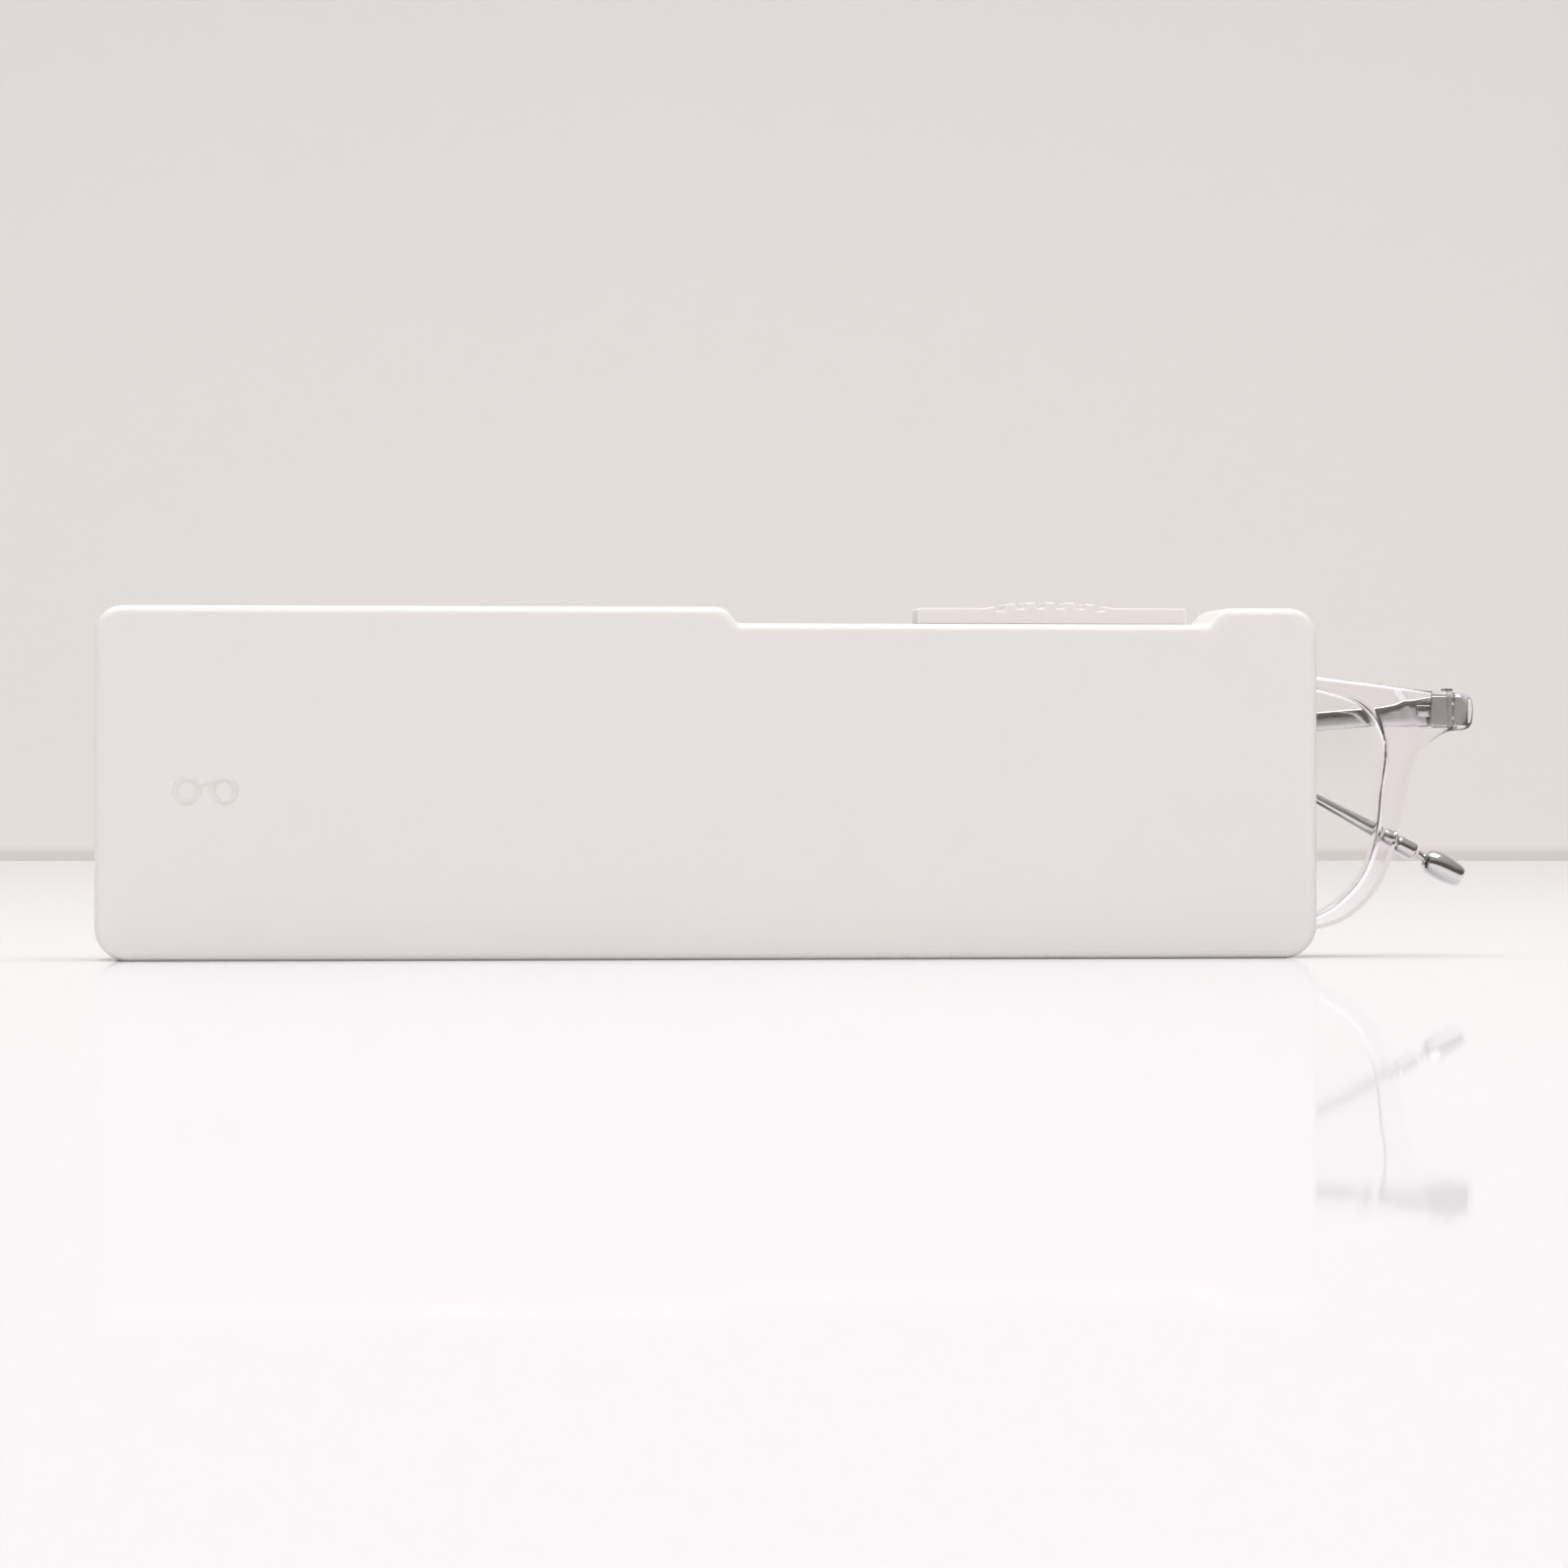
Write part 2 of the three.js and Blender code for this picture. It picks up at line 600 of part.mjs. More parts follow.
function templeSection(x) {
  const { lerp, smoothstep } = THREE.MathUtils;
  const round = smoothstep(x, ROUNDING_START, ROD_START);
  const flare = ROD_FLARE * smoothstep(x, FLARE_START, ROD_END);
  const rootHeight = lerp(BAR_ROOT_HALF_HEIGHT, BAR_HALF_HEIGHT, smoothstep(x, BAR_START, BAR_TAPER_END));
  return {
    halfWidth: lerp(BAR_HALF_WIDTH, ROD_RADIUS, round) + flare,
    halfHeight: lerp(rootHeight, ROD_RADIUS, round) + flare,
    squareness: lerp(SQUARE_CORNERS, 1, round),
  };
}

// A solid made of rings of points joined one to the next, with a flat cap at each end.
function loft(rings) {
  const sides = rings[0].length;
  const vertices = rings.flat();
  const triangles = [];
  for (let r = 0; r + 1 < rings.length; r += 1) {
    for (let s = 0; s < sides; s += 1) {
      const a = r * sides + s;
      const b = r * sides + (s + 1) % sides;
      triangles.push(a, b, a + sides, b, b + sides, a + sides);
    }
  }
  const last = (rings.length - 1) * sides;
  for (let s = 1; s + 1 < sides; s += 1) {
    triangles.push(0, s + 1, s);
    triangles.push(last, last + s, last + s + 1);
  }
  const geometry = new THREE.BufferGeometry();
  const numbers = vertices.flatMap((vertex) => vertex.toArray());
  geometry.setAttribute('position', new THREE.Float32BufferAttribute(numbers, 3));
  geometry.setIndex(triangles);
  geometry.computeVertexNormals();
  return geometry;
}

function templeRing(x) {
  const sides = 12;
  const { halfWidth, halfHeight, squareness } = templeSection(x);
  const ahead = templeHeight(x + 0.01);
  const behind = templeHeight(x - 0.01);
  const tilt = Math.atan2(ahead - behind, 0.02);
  const ring = [];
  for (let i = 0; i < sides; i += 1) {
    const angle = 2 * Math.PI * (i + 0.5) / sides;
    const c = Math.cos(angle);
    const s = Math.sin(angle);
    const across = halfWidth * Math.sign(c) * Math.abs(c) ** squareness;
    const up = halfHeight * Math.sign(s) * Math.abs(s) ** squareness;
    ring.push(new THREE.Vector3(x - up * Math.sin(tilt), across, templeHeight(x) + up * Math.cos(tilt)));
  }
  return ring;
}

function templeBar() {
  const rings = [];
  const rootSteps = 4;
  for (let i = 0; i < rootSteps; i += 1) {
    rings.push(templeRing(THREE.MathUtils.lerp(BAR_START, BAR_TAPER_END, i / rootSteps)));
  }
  const straightSteps = 12;
  for (let i = 0; i < straightSteps; i += 1) {
    rings.push(templeRing(THREE.MathUtils.lerp(BAR_TAPER_END, arcStart, i / straightSteps)));
  }
  const bentSteps = 12;
  for (let i = 0; i <= bentSteps; i += 1) {
    rings.push(templeRing(THREE.MathUtils.lerp(arcStart, ROD_END, i / bentSteps)));
  }
  return loft(rings);
}

// Turned pieces on the temple's end: [distance along the temple, radius] pairs, from hinge to tip.
function turned(profile) {
  const start = profile[0][0];
  const slopeLength = 1 / Math.cos(EAR_SLOPE);
  const points = [new THREE.Vector2(0, 0)];
  for (const [x, radius] of profile) {
    points.push(new THREE.Vector2(radius, (x - start) * slopeLength));
  }
  points.push(new THREE.Vector2(0, (profile[profile.length - 1][0] - start) * slopeLength));
  const geometry = new THREE.LatheGeometry(points, 14);
  return geometry.rotateZ(-RIGHT_ANGLE).rotateY(EAR_SLOPE).translate(start, 0, templeHeight(start));
}

const SLEEVE_PROFILE = [
  [ROD_END + GAP, 0.95], [ROD_END + 0.5, 1.15], [SLEEVE_END - 0.5, 1.15],
  [SLEEVE_END - 0.2, 0.9],
];
const TIP_PROFILE = [
  [SLEEVE_END + 0.1, 0.75], [SLEEVE_END + 0.6, 0.55], [SLEEVE_END + 1.1, 0.6], [SLEEVE_END + 1.5, 1.3],
  [SLEEVE_END + 2.1, 1.55], [SLEEVE_END + 3.4, 1.65], [SLEEVE_END + 4.9, 1.55], [TIP_END - 0.3, 1.2],
  [TIP_END, 0.8],
];

const NOSE_PAD_SIZE = [1.1, 2.2, 5.5];
const NOSE_PAD_U = 8;
const NOSE_PAD_Z = 15;
const NOSE_PAD_TILT = THREE.MathUtils.degToRad(14);
const NOSE_PAD_Y = FRONT_FACE + FRONT_THICKNESS + NOSE_PAD_SIZE[1] + GAP;

// One side's lens, nose pad, hinge and temple. side is 1 for the wearer's left, at +X, and -1 for
// the right.
function addSide(name, side, lean) {
  const lens = new THREE.Shape(lensPath(side, -LENS_GAP, 44));
  piece(`lens_${name}`, bend(plate(lens, lensFace, lensFace + LENS_THICKNESS)), clearLens, glasses);

  const pad = piece(`nose_pad_${name}`,
    new THREE.SphereGeometry(1, 12, 8).scale(...NOSE_PAD_SIZE), silicone, glasses);
  pad.position.set(side * NOSE_PAD_U, NOSE_PAD_Y, NOSE_PAD_Z);
  pad.rotation.z = -side * NOSE_PAD_TILT;

  const hinge = new THREE.Group();
  hinge.position.set(side * HINGE_REACH, HINGE_Y, 0);
  glasses.add(hinge);
  const frameHalf = side > 0 ? frameHinge() : mirrored(frameHinge());
  piece(`frame_hinge_${name}`, frameHalf, polishedSteel, hinge);
  const headTop = knuckleHigh + KNUCKLE_HEIGHT + GAP + HINGE_HEAD_HEIGHT;
  const pinLength = headTop - knuckleLow + KNUCKLE_HEIGHT;
  const pin = piece(`hinge_screw_${name}`,
    screw(0, 0, 0, HINGE_HEAD_RADIUS, HINGE_HEAD_HEIGHT, PIN_RADIUS, pinLength), polishedSteel, hinge);
  pin.rotation.x = Math.PI;
  pin.position.z = headTop;

  const temple = new THREE.Group();
  temple.rotation.z = side > 0 ? Math.PI + lean : lean;
  hinge.add(temple);
  piece(`temple_hinge_${name}`, templeHinge(-side), polishedSteel, temple);
  const endPieces = [
    piece(`temple_bar_${name}`, templeBar(), polishedSteel, temple),
    piece(`temple_sleeve_${name}`, turned(SLEEVE_PROFILE), polishedSteel, temple),
    piece(`temple_tip_${name}`, turned(TIP_PROFILE), polishedSteel, temple),
  ];
  for (const endPiece of endPieces) {
    endPiece.position.y = -side * TEMPLE_OFFSET;
  }
}

addSide('left', 1, LEFT_LEAN);
addSide('right', -1, RIGHT_LEAN);

export default model;
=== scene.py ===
"""The looks of a slide-out glasses case with folding glasses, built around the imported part.

Shapes are worked out in millimetres in the part's frame, and dress() turns each one into metres.
X runs along the case towards its mouth, -Y is the case's broad front and +Z is up.
Left and right on the glasses are the wearer's, so left is at +X.
"""

import json
import math

import bmesh
import bpy
import numpy as np
from mathutils import Matrix, Vector, geometry


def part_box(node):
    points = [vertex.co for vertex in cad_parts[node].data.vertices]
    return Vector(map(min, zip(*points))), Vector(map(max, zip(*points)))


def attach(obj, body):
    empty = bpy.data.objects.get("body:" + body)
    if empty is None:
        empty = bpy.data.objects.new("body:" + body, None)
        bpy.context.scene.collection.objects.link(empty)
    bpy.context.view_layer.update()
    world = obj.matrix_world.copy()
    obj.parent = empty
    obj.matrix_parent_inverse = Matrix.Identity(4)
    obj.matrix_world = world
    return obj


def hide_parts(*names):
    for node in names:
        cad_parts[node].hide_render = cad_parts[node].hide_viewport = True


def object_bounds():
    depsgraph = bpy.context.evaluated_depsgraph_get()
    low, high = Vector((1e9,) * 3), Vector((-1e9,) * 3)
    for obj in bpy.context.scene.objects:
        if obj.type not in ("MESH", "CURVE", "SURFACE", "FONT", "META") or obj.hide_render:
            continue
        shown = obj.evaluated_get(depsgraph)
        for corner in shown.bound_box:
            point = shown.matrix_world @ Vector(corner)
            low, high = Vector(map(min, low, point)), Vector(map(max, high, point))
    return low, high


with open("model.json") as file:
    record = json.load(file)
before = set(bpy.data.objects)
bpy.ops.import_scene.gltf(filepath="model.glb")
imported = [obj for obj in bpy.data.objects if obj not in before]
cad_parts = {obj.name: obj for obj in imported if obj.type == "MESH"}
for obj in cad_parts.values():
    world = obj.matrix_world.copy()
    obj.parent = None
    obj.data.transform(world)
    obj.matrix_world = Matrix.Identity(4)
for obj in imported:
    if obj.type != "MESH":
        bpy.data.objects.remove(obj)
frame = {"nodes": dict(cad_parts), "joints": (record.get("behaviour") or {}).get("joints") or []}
cad_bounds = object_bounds()

MM = 0.001
QUARTER = math.pi / 2


def cad_box(*nodes):
    """Lowest and highest corners of some CAD nodes together, in millimetres."""
    boxes = [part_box(node) for node in nodes]
    low = Vector([min(box[0][i] for box in boxes) for i in range(3)])
    high = Vector([max(box[1][i] for box in boxes) for i in range(3)])
    return low / MM, high / MM


# ---------------- dimensions, in millimetres

CASE_LOW, CASE_HIGH = cad_box("case_front_shell", "case_back_shell")
CASE_END = -CASE_LOW.x             # the mouth: the case is centred on X = 0
BACK_SHELL_DEPTH = 3.7
FRONT_SHELL_BACK = cad_box("case_front_shell")[1].y
BACK_SHELL_FRONT = CASE_HIGH.y - BACK_SHELL_DEPTH
WALL = 1.4
EDGE_FILLET = 1.1
SEAM_EDGE = 0.2
TOP_CORNER = 3.6
BOTTOM_CORNER = 4.3
RECESS_LEFT = 3.4
RECESS_RIGHT = 64.0
RECESS_FLOOR = 42.9
RAMP_RUN = 1.8
INNER_FACE = CASE_HIGH.y - WALL
MOUTH_LIP = 0.3
LEDGE_LOW = (-74, 37.4)            # X and Z of the ledge that the carriage's rail runs on
LEDGE_HIGH = (62, 38.3)

BUTTON_LOW, BUTTON_HIGH = cad_box("slider_button")
BUTTON_BOTTOM = RECESS_FLOOR + 0.12
BUTTON_SHOULDER = 45.05
CROWN_X = 44.2
CROWN_HALF = 8.2
CROWN_RISE = 0.75
RIB_PITCH = 2.59
GROOVE_WIDTH = 1.2
GROOVE_DEPTH = 0.75
NECK = (40.2, 48.2, 1.25)          # left end, right end, half width
SLOT = (17.3, 48.7, 1.6)

JOINT_PLACES = {joint["name"]: joint.get("pos_m") for joint in frame["joints"]}
BRIDGE_X = 28.9
FRONT_FACE = -5.8
FRONT_THICKNESS = 2.7
FRONT_EDGE = 0.45
FRONT_BEND = 700.0
LENS_CENTRE = Vector((33.9, 19.7))
LENS_THICKNESS = 1.5
HINGE_Z = 31.9
KNUCKLE_RADIUS = 1.15
KNUCKLE_HEIGHT = 1.2
KNUCKLE_BORE = 0.6
MIDDLE_KNUCKLE = 1.6
KNUCKLE_GAP = 0.3
LEAF_LENGTH = 4.4
FRAME_LEAF_LENGTH = 2.6
BACK_PLATE_REACH = 2.3
LEAF_STEP = 0.06                   # how much lower a hinge leaf is than its barrels, at each end
TEMPLE_OFFSET = 0.7
TEMPLE_SLOPE = math.radians(4.6)
EAR_SLOPE = math.radians(28.3)
EAR_REACH = 115.6
EAR_RADIUS = 26.0
BAR_START = 1.5
ROD_END = 127.9
SLEEVE_END = 133.0
LEANS = {"left": math.radians(0.8), "right": math.radians(0.5)}


# ---------------- outlines

def rounded_polygon(corners, step_degrees=7.5):
    """A closed outline from (a, b, radius) corners. A corner with no radius stays sharp."""
    points = []
    for i, (a, b, radius) in enumerate(corners):
        here = Vector((a, b))
        if radius == 0:
            points.append(here)
            continue
        before = (Vector(corners[i - 1][:2]) - here).normalized()
        after = (Vector(corners[(i + 1) % len(corners)][:2]) - here).normalized()
        half = before.angle(after) / 2
        centre = here + (before + after).normalized() * radius / math.sin(half)
        spoke = here + before * radius / math.tan(half) - centre
        turn = math.pi - 2 * half
        if before.x * after.y - before.y * after.x > 0:
            turn = -turn
        steps = max(2, math.ceil(abs(turn) / math.radians(step_degrees)))
        for k in range(steps + 1):
            angle = turn * k / steps
            c, s = math.cos(angle), math.sin(angle)
            points.append(centre + Vector((spoke.x * c - spoke.y * s, spoke.x * s + spoke.y * c)))
    return points


def rounded_rectangle(left, bottom, right, top, radius, step_degrees=7.5):
    return rounded_polygon([(left, bottom, radius), (right, bottom, radius),
                            (right, top, radius), (left, top, radius)], step_degrees)


def inset(points, distance):
    """A closed outline moved to its left by distance, which is inwards when it runs anticlockwise."""
    moved = []
    for i, here in enumerate(points):
        first = (here - points[i - 1]).normalized()
        second = (points[(i + 1) % len(points)] - here).normalized()
        normal = Vector((-first.y - second.y, first.x + second.x)).normalized()
        stretch = 1 / max(0.3, normal.dot(Vector((-first.y, first.x))))
        moved.append(here + normal * distance * stretch)
    return moved


def smooth_outline(points, count):
    """A closed centripetal Catmull-Rom curve through the points, cut into equal lengths."""
    dense = []
    total = len(points)
    per_span = 24
    for i in range(total):
        p = [Vector(points[(i + k - 1) % total]) for k in range(4)]
        knots = [0.0]
        for k in range(3):
            knots.append(knots[-1] + max((p[k + 1] - p[k]).length, 1e-6) ** 0.5)
        for s in range(per_span):
            t = knots[1] + (knots[2] - knots[1]) * s / per_span
            level = list(p)
            for width in (1, 2, 3):
                nearer = []
                for k in range(len(level) - 1):
                    if width == 3:
                        low, high = knots[1], knots[2]
                    elif width == 2:
                        low, high = knots[k], knots[k + 2]
                    else:
                        low, high = knots[k], knots[k + 1]
                    share = (t - low) / (high - low)
                    nearer.append(level[k].lerp(level[k + 1], share) if 0 <= share <= 1
                                  else level[k] + (level[k + 1] - level[k]) * share)
                level = nearer
            dense.append(level[0])
    closed = dense + [dense[0]]
    lengths = [0.0]
    for a, b in zip(closed, closed[1:]):
        lengths.append(lengths[-1] + (b - a).length)
    wanted = np.linspace(0, lengths[-1], count, endpoint=False)
    xs = np.interp(wanted, lengths, [p.x for p in closed])
    ys = np.interp(wanted, lengths, [p.y for p in closed])
    return [Vector((x, y)) for x, y in zip(xs, ys)]


# ---------------- mesh helpers

def add_object(name, data):
    obj = bpy.data.objects.new(name, data)
    bpy.context.scene.collection.objects.link(obj)
    return obj


def new_object(name, verts, faces):
    mesh = bpy.data.meshes.new(name)
    mesh.from_pydata([Vector(v) for v in verts], [], faces)
    return add_object(name, mesh)


def clean(obj, sharp_degrees=35):
    """Welds the mesh, turns its faces out, and smooths it except across its real edges."""
    bm = bmesh.new()
    bm.from_mesh(obj.data)
    bmesh.ops.remove_doubles(bm, verts=bm.verts, dist=2e-4)
    bmesh.ops.dissolve_degenerate(bm, edges=bm.edges, dist=1e-4)
    loose = [vert for vert in bm.verts if not vert.link_faces]
    bmesh.ops.delete(bm, geom=loose, context="VERTS")
    bmesh.ops.recalc_face_normals(bm, faces=bm.faces)
    sharp = math.radians(sharp_degrees)
    for face in bm.faces:
        face.smooth = True
    for edge in bm.edges:
        edge.smooth = len(edge.link_faces) == 2 and edge.calc_face_angle(0) < sharp
    bm.to_mesh(obj.data)
    bm.free()
    return obj


def carve(body, tool, operation="DIFFERENCE"):
    """Cuts or joins body with tool, and deletes tool."""
    modifier = body.modifiers.new("carve", "BOOLEAN")
    modifier.operation = operation
    modifier.solver = "FAST"
    modifier.object = tool
    depsgraph = bpy.context.evaluated_depsgraph_get()
    mesh = bpy.data.meshes.new_from_object(body.evaluated_get(depsgraph))
    old = body.data
    body.modifiers.clear()
    body.data = mesh
    bpy.data.meshes.remove(old)
    bpy.data.objects.remove(tool)


def skin(rings, sides, start=0, closed=False):
    """Faces between one ring of points and the next, for points numbered from start on."""
    faces = []
    for r in range(rings if closed else rings - 1):
        first = start + r * sides
        second = start + (r + 1) % rings * sides
        for s in range(sides):
            after = (s + 1) % sides
            faces.append((first + s, first + after, second + after, second + s))
    return faces


def loft(name, rings, closed=False):
    """A skin over rings of points, with flat ends, or joined end to start when closed."""
    sides = len(rings[0])
    verts = [v for ring in rings for v in ring]
    faces = skin(len(rings), sides, closed=closed)
    if not closed:
        faces.append(tuple(range(sides)))
        faces.append(tuple(range((len(rings) - 1) * sides, len(rings) * sides)))
    return clean(new_object(name, verts, faces))


def rounded_rows(y_front, y_back, front_edge, back_edge, steps, margin=0.25):
    """(inset, y) rows of a plate's side, from its front face round to its back face."""
    rows = [(front_edge + margin, y_front)]
    for k in range(steps + 1):
        angle = QUARTER * k / steps
        rows.append((front_edge * (1 - math.sin(angle)), y_front + front_edge * (1 - math.cos(angle))))
    for k in range(steps, -1, -1):
        angle = QUARTER * k / steps
        rows.append((back_edge * (1 - math.sin(angle)), y_back - back_edge * (1 - math.cos(angle))))
    rows.append((back_edge + margin, y_back))
    return rows


def plate(name, outline, y_front, y_back, front_edge, back_edge, steps=8, margin=0.25):
    """A plate with rounded rims from an outline in X and Z that runs anticlockwise."""
    rings = []
    for distance, y in rounded_rows(y_front, y_back, front_edge, back_edge, steps, margin):
        rings.append([(p.x, y, p.y) for p in inset(outline, distance)])
    return loft(name, rings)


def rounded_block(name, low, high, edge, steps=3):
    """A box with rounded edges."""
    outline = rounded_rectangle(low[0], low[2], high[0], high[2], edge, 30)
    rings = []
    for distance, y in rounded_rows(low[1], high[1], edge, edge, steps)[1:-1]:
        rings.append([(p.x, y, p.y) for p in inset(outline, distance * 0.999)])
    return loft(name, rings)


def turned(name, profile, sides=48):
    """A solid turned about X from (x, radius) points. It closes on itself if it never meets the axis."""
    hollow = profile[0][1] > 0
    rings = []
    for k in range(sides):
        angle = 2 * math.pi * k / sides
        rings.append([(x, radius * math.cos(angle), radius * math.sin(angle)) for x, radius in profile])
    verts = [v for ring in rings for v in ring]
    count = len(profile)
    faces = []
    for k in range(sides):
        here, after = k * count, (k + 1) % sides * count
        for i in range(count if hollow else count - 1):
            j = (i + 1) % count
            faces.append((here + i, here + j, after + j, after + i))
    return clean(new_object(name, verts, faces))


def knuckle(z_low, z_high):
    """An upright hinge barrel with a bore and softened rims."""
    soft = 0.1
    rim = KNUCKLE_RADIUS - soft
    profile = [(z_low, KNUCKLE_BORE), (z_low, rim), (z_low + soft, KNUCKLE_RADIUS),
               (z_high - soft, KNUCKLE_RADIUS), (z_high, rim), (z_high, KNUCKLE_BORE)]
    barrel = turned("barrel", profile, 40)
    barrel.data.transform(Matrix.Rotation(-QUARTER, 4, "Y"))
    return barrel


def place(obj, matrix):
    """Moves a mesh's points, leaving the object itself at the origin."""
    obj.data.transform(matrix)
    return obj


# ---------------- materials

def material(name, colour, roughness, metallic=0.0):
    made = bpy.data.materials.new(name)
    made.use_nodes = True
    shader = made.node_tree.nodes["Principled BSDF"]
    shader.inputs["Base Color"].default_value = (*colour, 1)
    shader.inputs["Roughness"].default_value = roughness
    shader.inputs["Metallic"].default_value = metallic
    return made, made.node_tree, shader


def speckle(tree, size_mm, detail=2.0, stretch=(1, 1, 1)):
    """Noise in the object's own coordinates, with grains of about size_mm."""
    coordinates = tree.nodes.new("ShaderNodeTexCoord")
    mapping = tree.nodes.new("ShaderNodeMapping")
    mapping.inputs["Scale"].default_value = stretch
    texture = tree.nodes.new("ShaderNodeTexNoise")
    texture.inputs["Scale"].default_value = 1 / (size_mm * MM)
    texture.inputs["Detail"].default_value = detail
    tree.links.new(coordinates.outputs["Object"], mapping.inputs["Vector"])
    tree.links.new(mapping.outputs["Vector"], texture.inputs["Vector"])
    return texture.outputs["Fac"]


def spread(tree, source, low, high):
    """Stretches a noise value, which is mostly 0.3 to 0.7, over low to high."""
    ranged = tree.nodes.new("ShaderNodeMapRange")
    ranged.inputs["From Min"].default_value = 0.3
    ranged.inputs["From Max"].default_value = 0.7
    ranged.inputs["To Min"].default_value = low
    ranged.inputs["To Max"].default_value = high
    tree.links.new(source, ranged.inputs["Value"])
    return ranged.outputs["Result"]


def tint(tree, shader, source, dark, light):
    """Varies the base colour between two colours."""
    mix = tree.nodes.new("ShaderNodeMix")
    mix.data_type = "RGBA"
    mix.inputs["A"].default_value = (*dark, 1)
    mix.inputs["B"].default_value = (*light, 1)
    tree.links.new(spread(tree, source, 0, 1), mix.inputs["Factor"])
    tree.links.new(mix.outputs["Result"], shader.inputs["Base Color"])


def bumps(tree, shader, source, depth_mm):
    """Raises the surface by depth_mm where the noise is high."""
    bump = tree.nodes.new("ShaderNodeBump")
    bump.inputs["Strength"].default_value = 1.0
    bump.inputs["Distance"].default_value = depth_mm * MM
    tree.links.new(source, bump.inputs["Height"])
    tree.links.new(bump.outputs["Normal"], shader.inputs["Normal"])


def moulded_plastic(name, colour, roughness, grain_mm, grain_depth):
    """Satin moulded plastic with a fine spark-eroded grain and a faintly uneven shine."""
    made, tree, shader = material(name, colour, roughness)
    broad = speckle(tree, 14, 3)
    tint(tree, shader, broad, [0.992 * c for c in colour], colour)
    tree.links.new(spread(tree, speckle(tree, 3), roughness - 0.03, roughness + 0.03),
                   shader.inputs["Roughness"])
    bumps(tree, shader, speckle(tree, grain_mm, 3), grain_depth)
    shader.inputs["Subsurface Weight"].default_value = 0.12
    shader.inputs["Subsurface Radius"].default_value = (1.0, 0.85, 0.75)
    shader.inputs["Subsurface Scale"].default_value = 0.6 * MM
    return made


def clear_material(name, colour, roughness, ior):
    """Clear glossy plastic or glass with a barely uneven polish."""
    made, tree, shader = material(name, colour, roughness)
    shader.inputs["Transmission Weight"].default_value = 1.0
    shader.inputs["IOR"].default_value = ior
    bumps(tree, shader, speckle(tree, 6, 1), 0.004)
    tree.links.new(spread(tree, speckle(tree, 2), roughness * 0.6, roughness * 1.4),
                   shader.inputs["Roughness"])
    return made


def polished_metal(name, colour, roughness, scratch_depth):
    """Polished metal with fine lengthwise polishing marks and a few duller patches."""
    made, tree, shader = material(name, colour, roughness, 1.0)
    tint(tree, shader, speckle(tree, 5, 3), [0.93 * c for c in colour], colour)
    tree.links.new(spread(tree, speckle(tree, 1.5, 4), roughness * 0.7, roughness * 1.5),
                   shader.inputs["Roughness"])
    bumps(tree, shader, speckle(tree, 0.12, 3, (0.08, 1, 1)), scratch_depth)
    return made


def felt(name, colour):
    """Short matted pile with a soft sheen."""
    made, tree, shader = material(name, colour, 0.95)
    tint(tree, shader, speckle(tree, 0.5, 5), [0.8 * c for c in colour], colour)
    bumps(tree, shader, speckle(tree, 0.22, 6), 0.12)
    shader.inputs["Sheen Weight"].default_value = 0.4
    shader.inputs["Sheen Roughness"].default_value = 0.5
    return made


CASE_PLASTIC = moulded_plastic("case_plastic", (0.82, 0.797, 0.78), 0.4, 0.16, 0.006)
INNER_PLASTIC = moulded_plastic("inner_plastic", (0.78, 0.76, 0.74), 0.5, 0.2, 0.01)
SILICONE = moulded_plastic("silicone", (0.84, 0.83, 0.82), 0.6, 0.3, 0.008)
FELT = felt("felt", (0.66, 0.64, 0.62))
CLEAR_PLASTIC = clear_material("clear_plastic", (0.985, 0.97, 0.98), 0.03, 1.49)
LENS_GLASS = clear_material("lens_glass", (0.99, 0.995, 0.992), 0.01, 1.5)
POLISHED_STEEL = polished_metal("polished_steel", (0.66, 0.645, 0.637), 0.1, 0.002)
SPRING_STEEL = polished_metal("spring_steel", (0.6, 0.59, 0.58), 0.28, 0.006)


def dress(obj, finish, slot, body, *nodes):
    """Turns a piece into metres, gives it its material, hangs it on the body that it moves with and hides
    the CAD nodes that it stands for.
    """
    obj.data.transform(Matrix.Scale(MM, 4))
    obj.data.materials.clear()
    obj.data.materials.append(finish)
    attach(obj, body)
    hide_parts(*nodes)


# ---------------- case

def case_outline():
    left, right = CASE_LOW.x, CASE_END
    top = CASE_HIGH.z
    left_ramp_top = 2.4
    right_ramp_top = 2.7
    return rounded_polygon([
        (left, 0, BOTTOM_CORNER),
        (right, 0, BOTTOM_CORNER),
        (right, top, TOP_CORNER),
        (RECESS_RIGHT + RAMP_RUN, top, right_ramp_top),
        (RECESS_RIGHT, RECESS_FLOOR, 1.2),
        (RECESS_LEFT, RECESS_FLOOR, 0.9),
        (RECESS_LEFT - RAMP_RUN, top, left_ramp_top),
        (left, top, TOP_CORNER),
    ])


def cavity_ceiling(x):
    """Height of the cavity's top, which is lower under the thumb recess."""
    high, low = CASE_HIGH.z - WALL, RECESS_FLOOR - WALL
    into_recess = (x - (RECESS_LEFT - RAMP_RUN - WALL)) / RAMP_RUN
    out_of_recess = (RECESS_RIGHT + RAMP_RUN + WALL - x) / RAMP_RUN
    share = min(max(min(into_recess, out_of_recess), 0), 1)
    return high + (low - high) * share


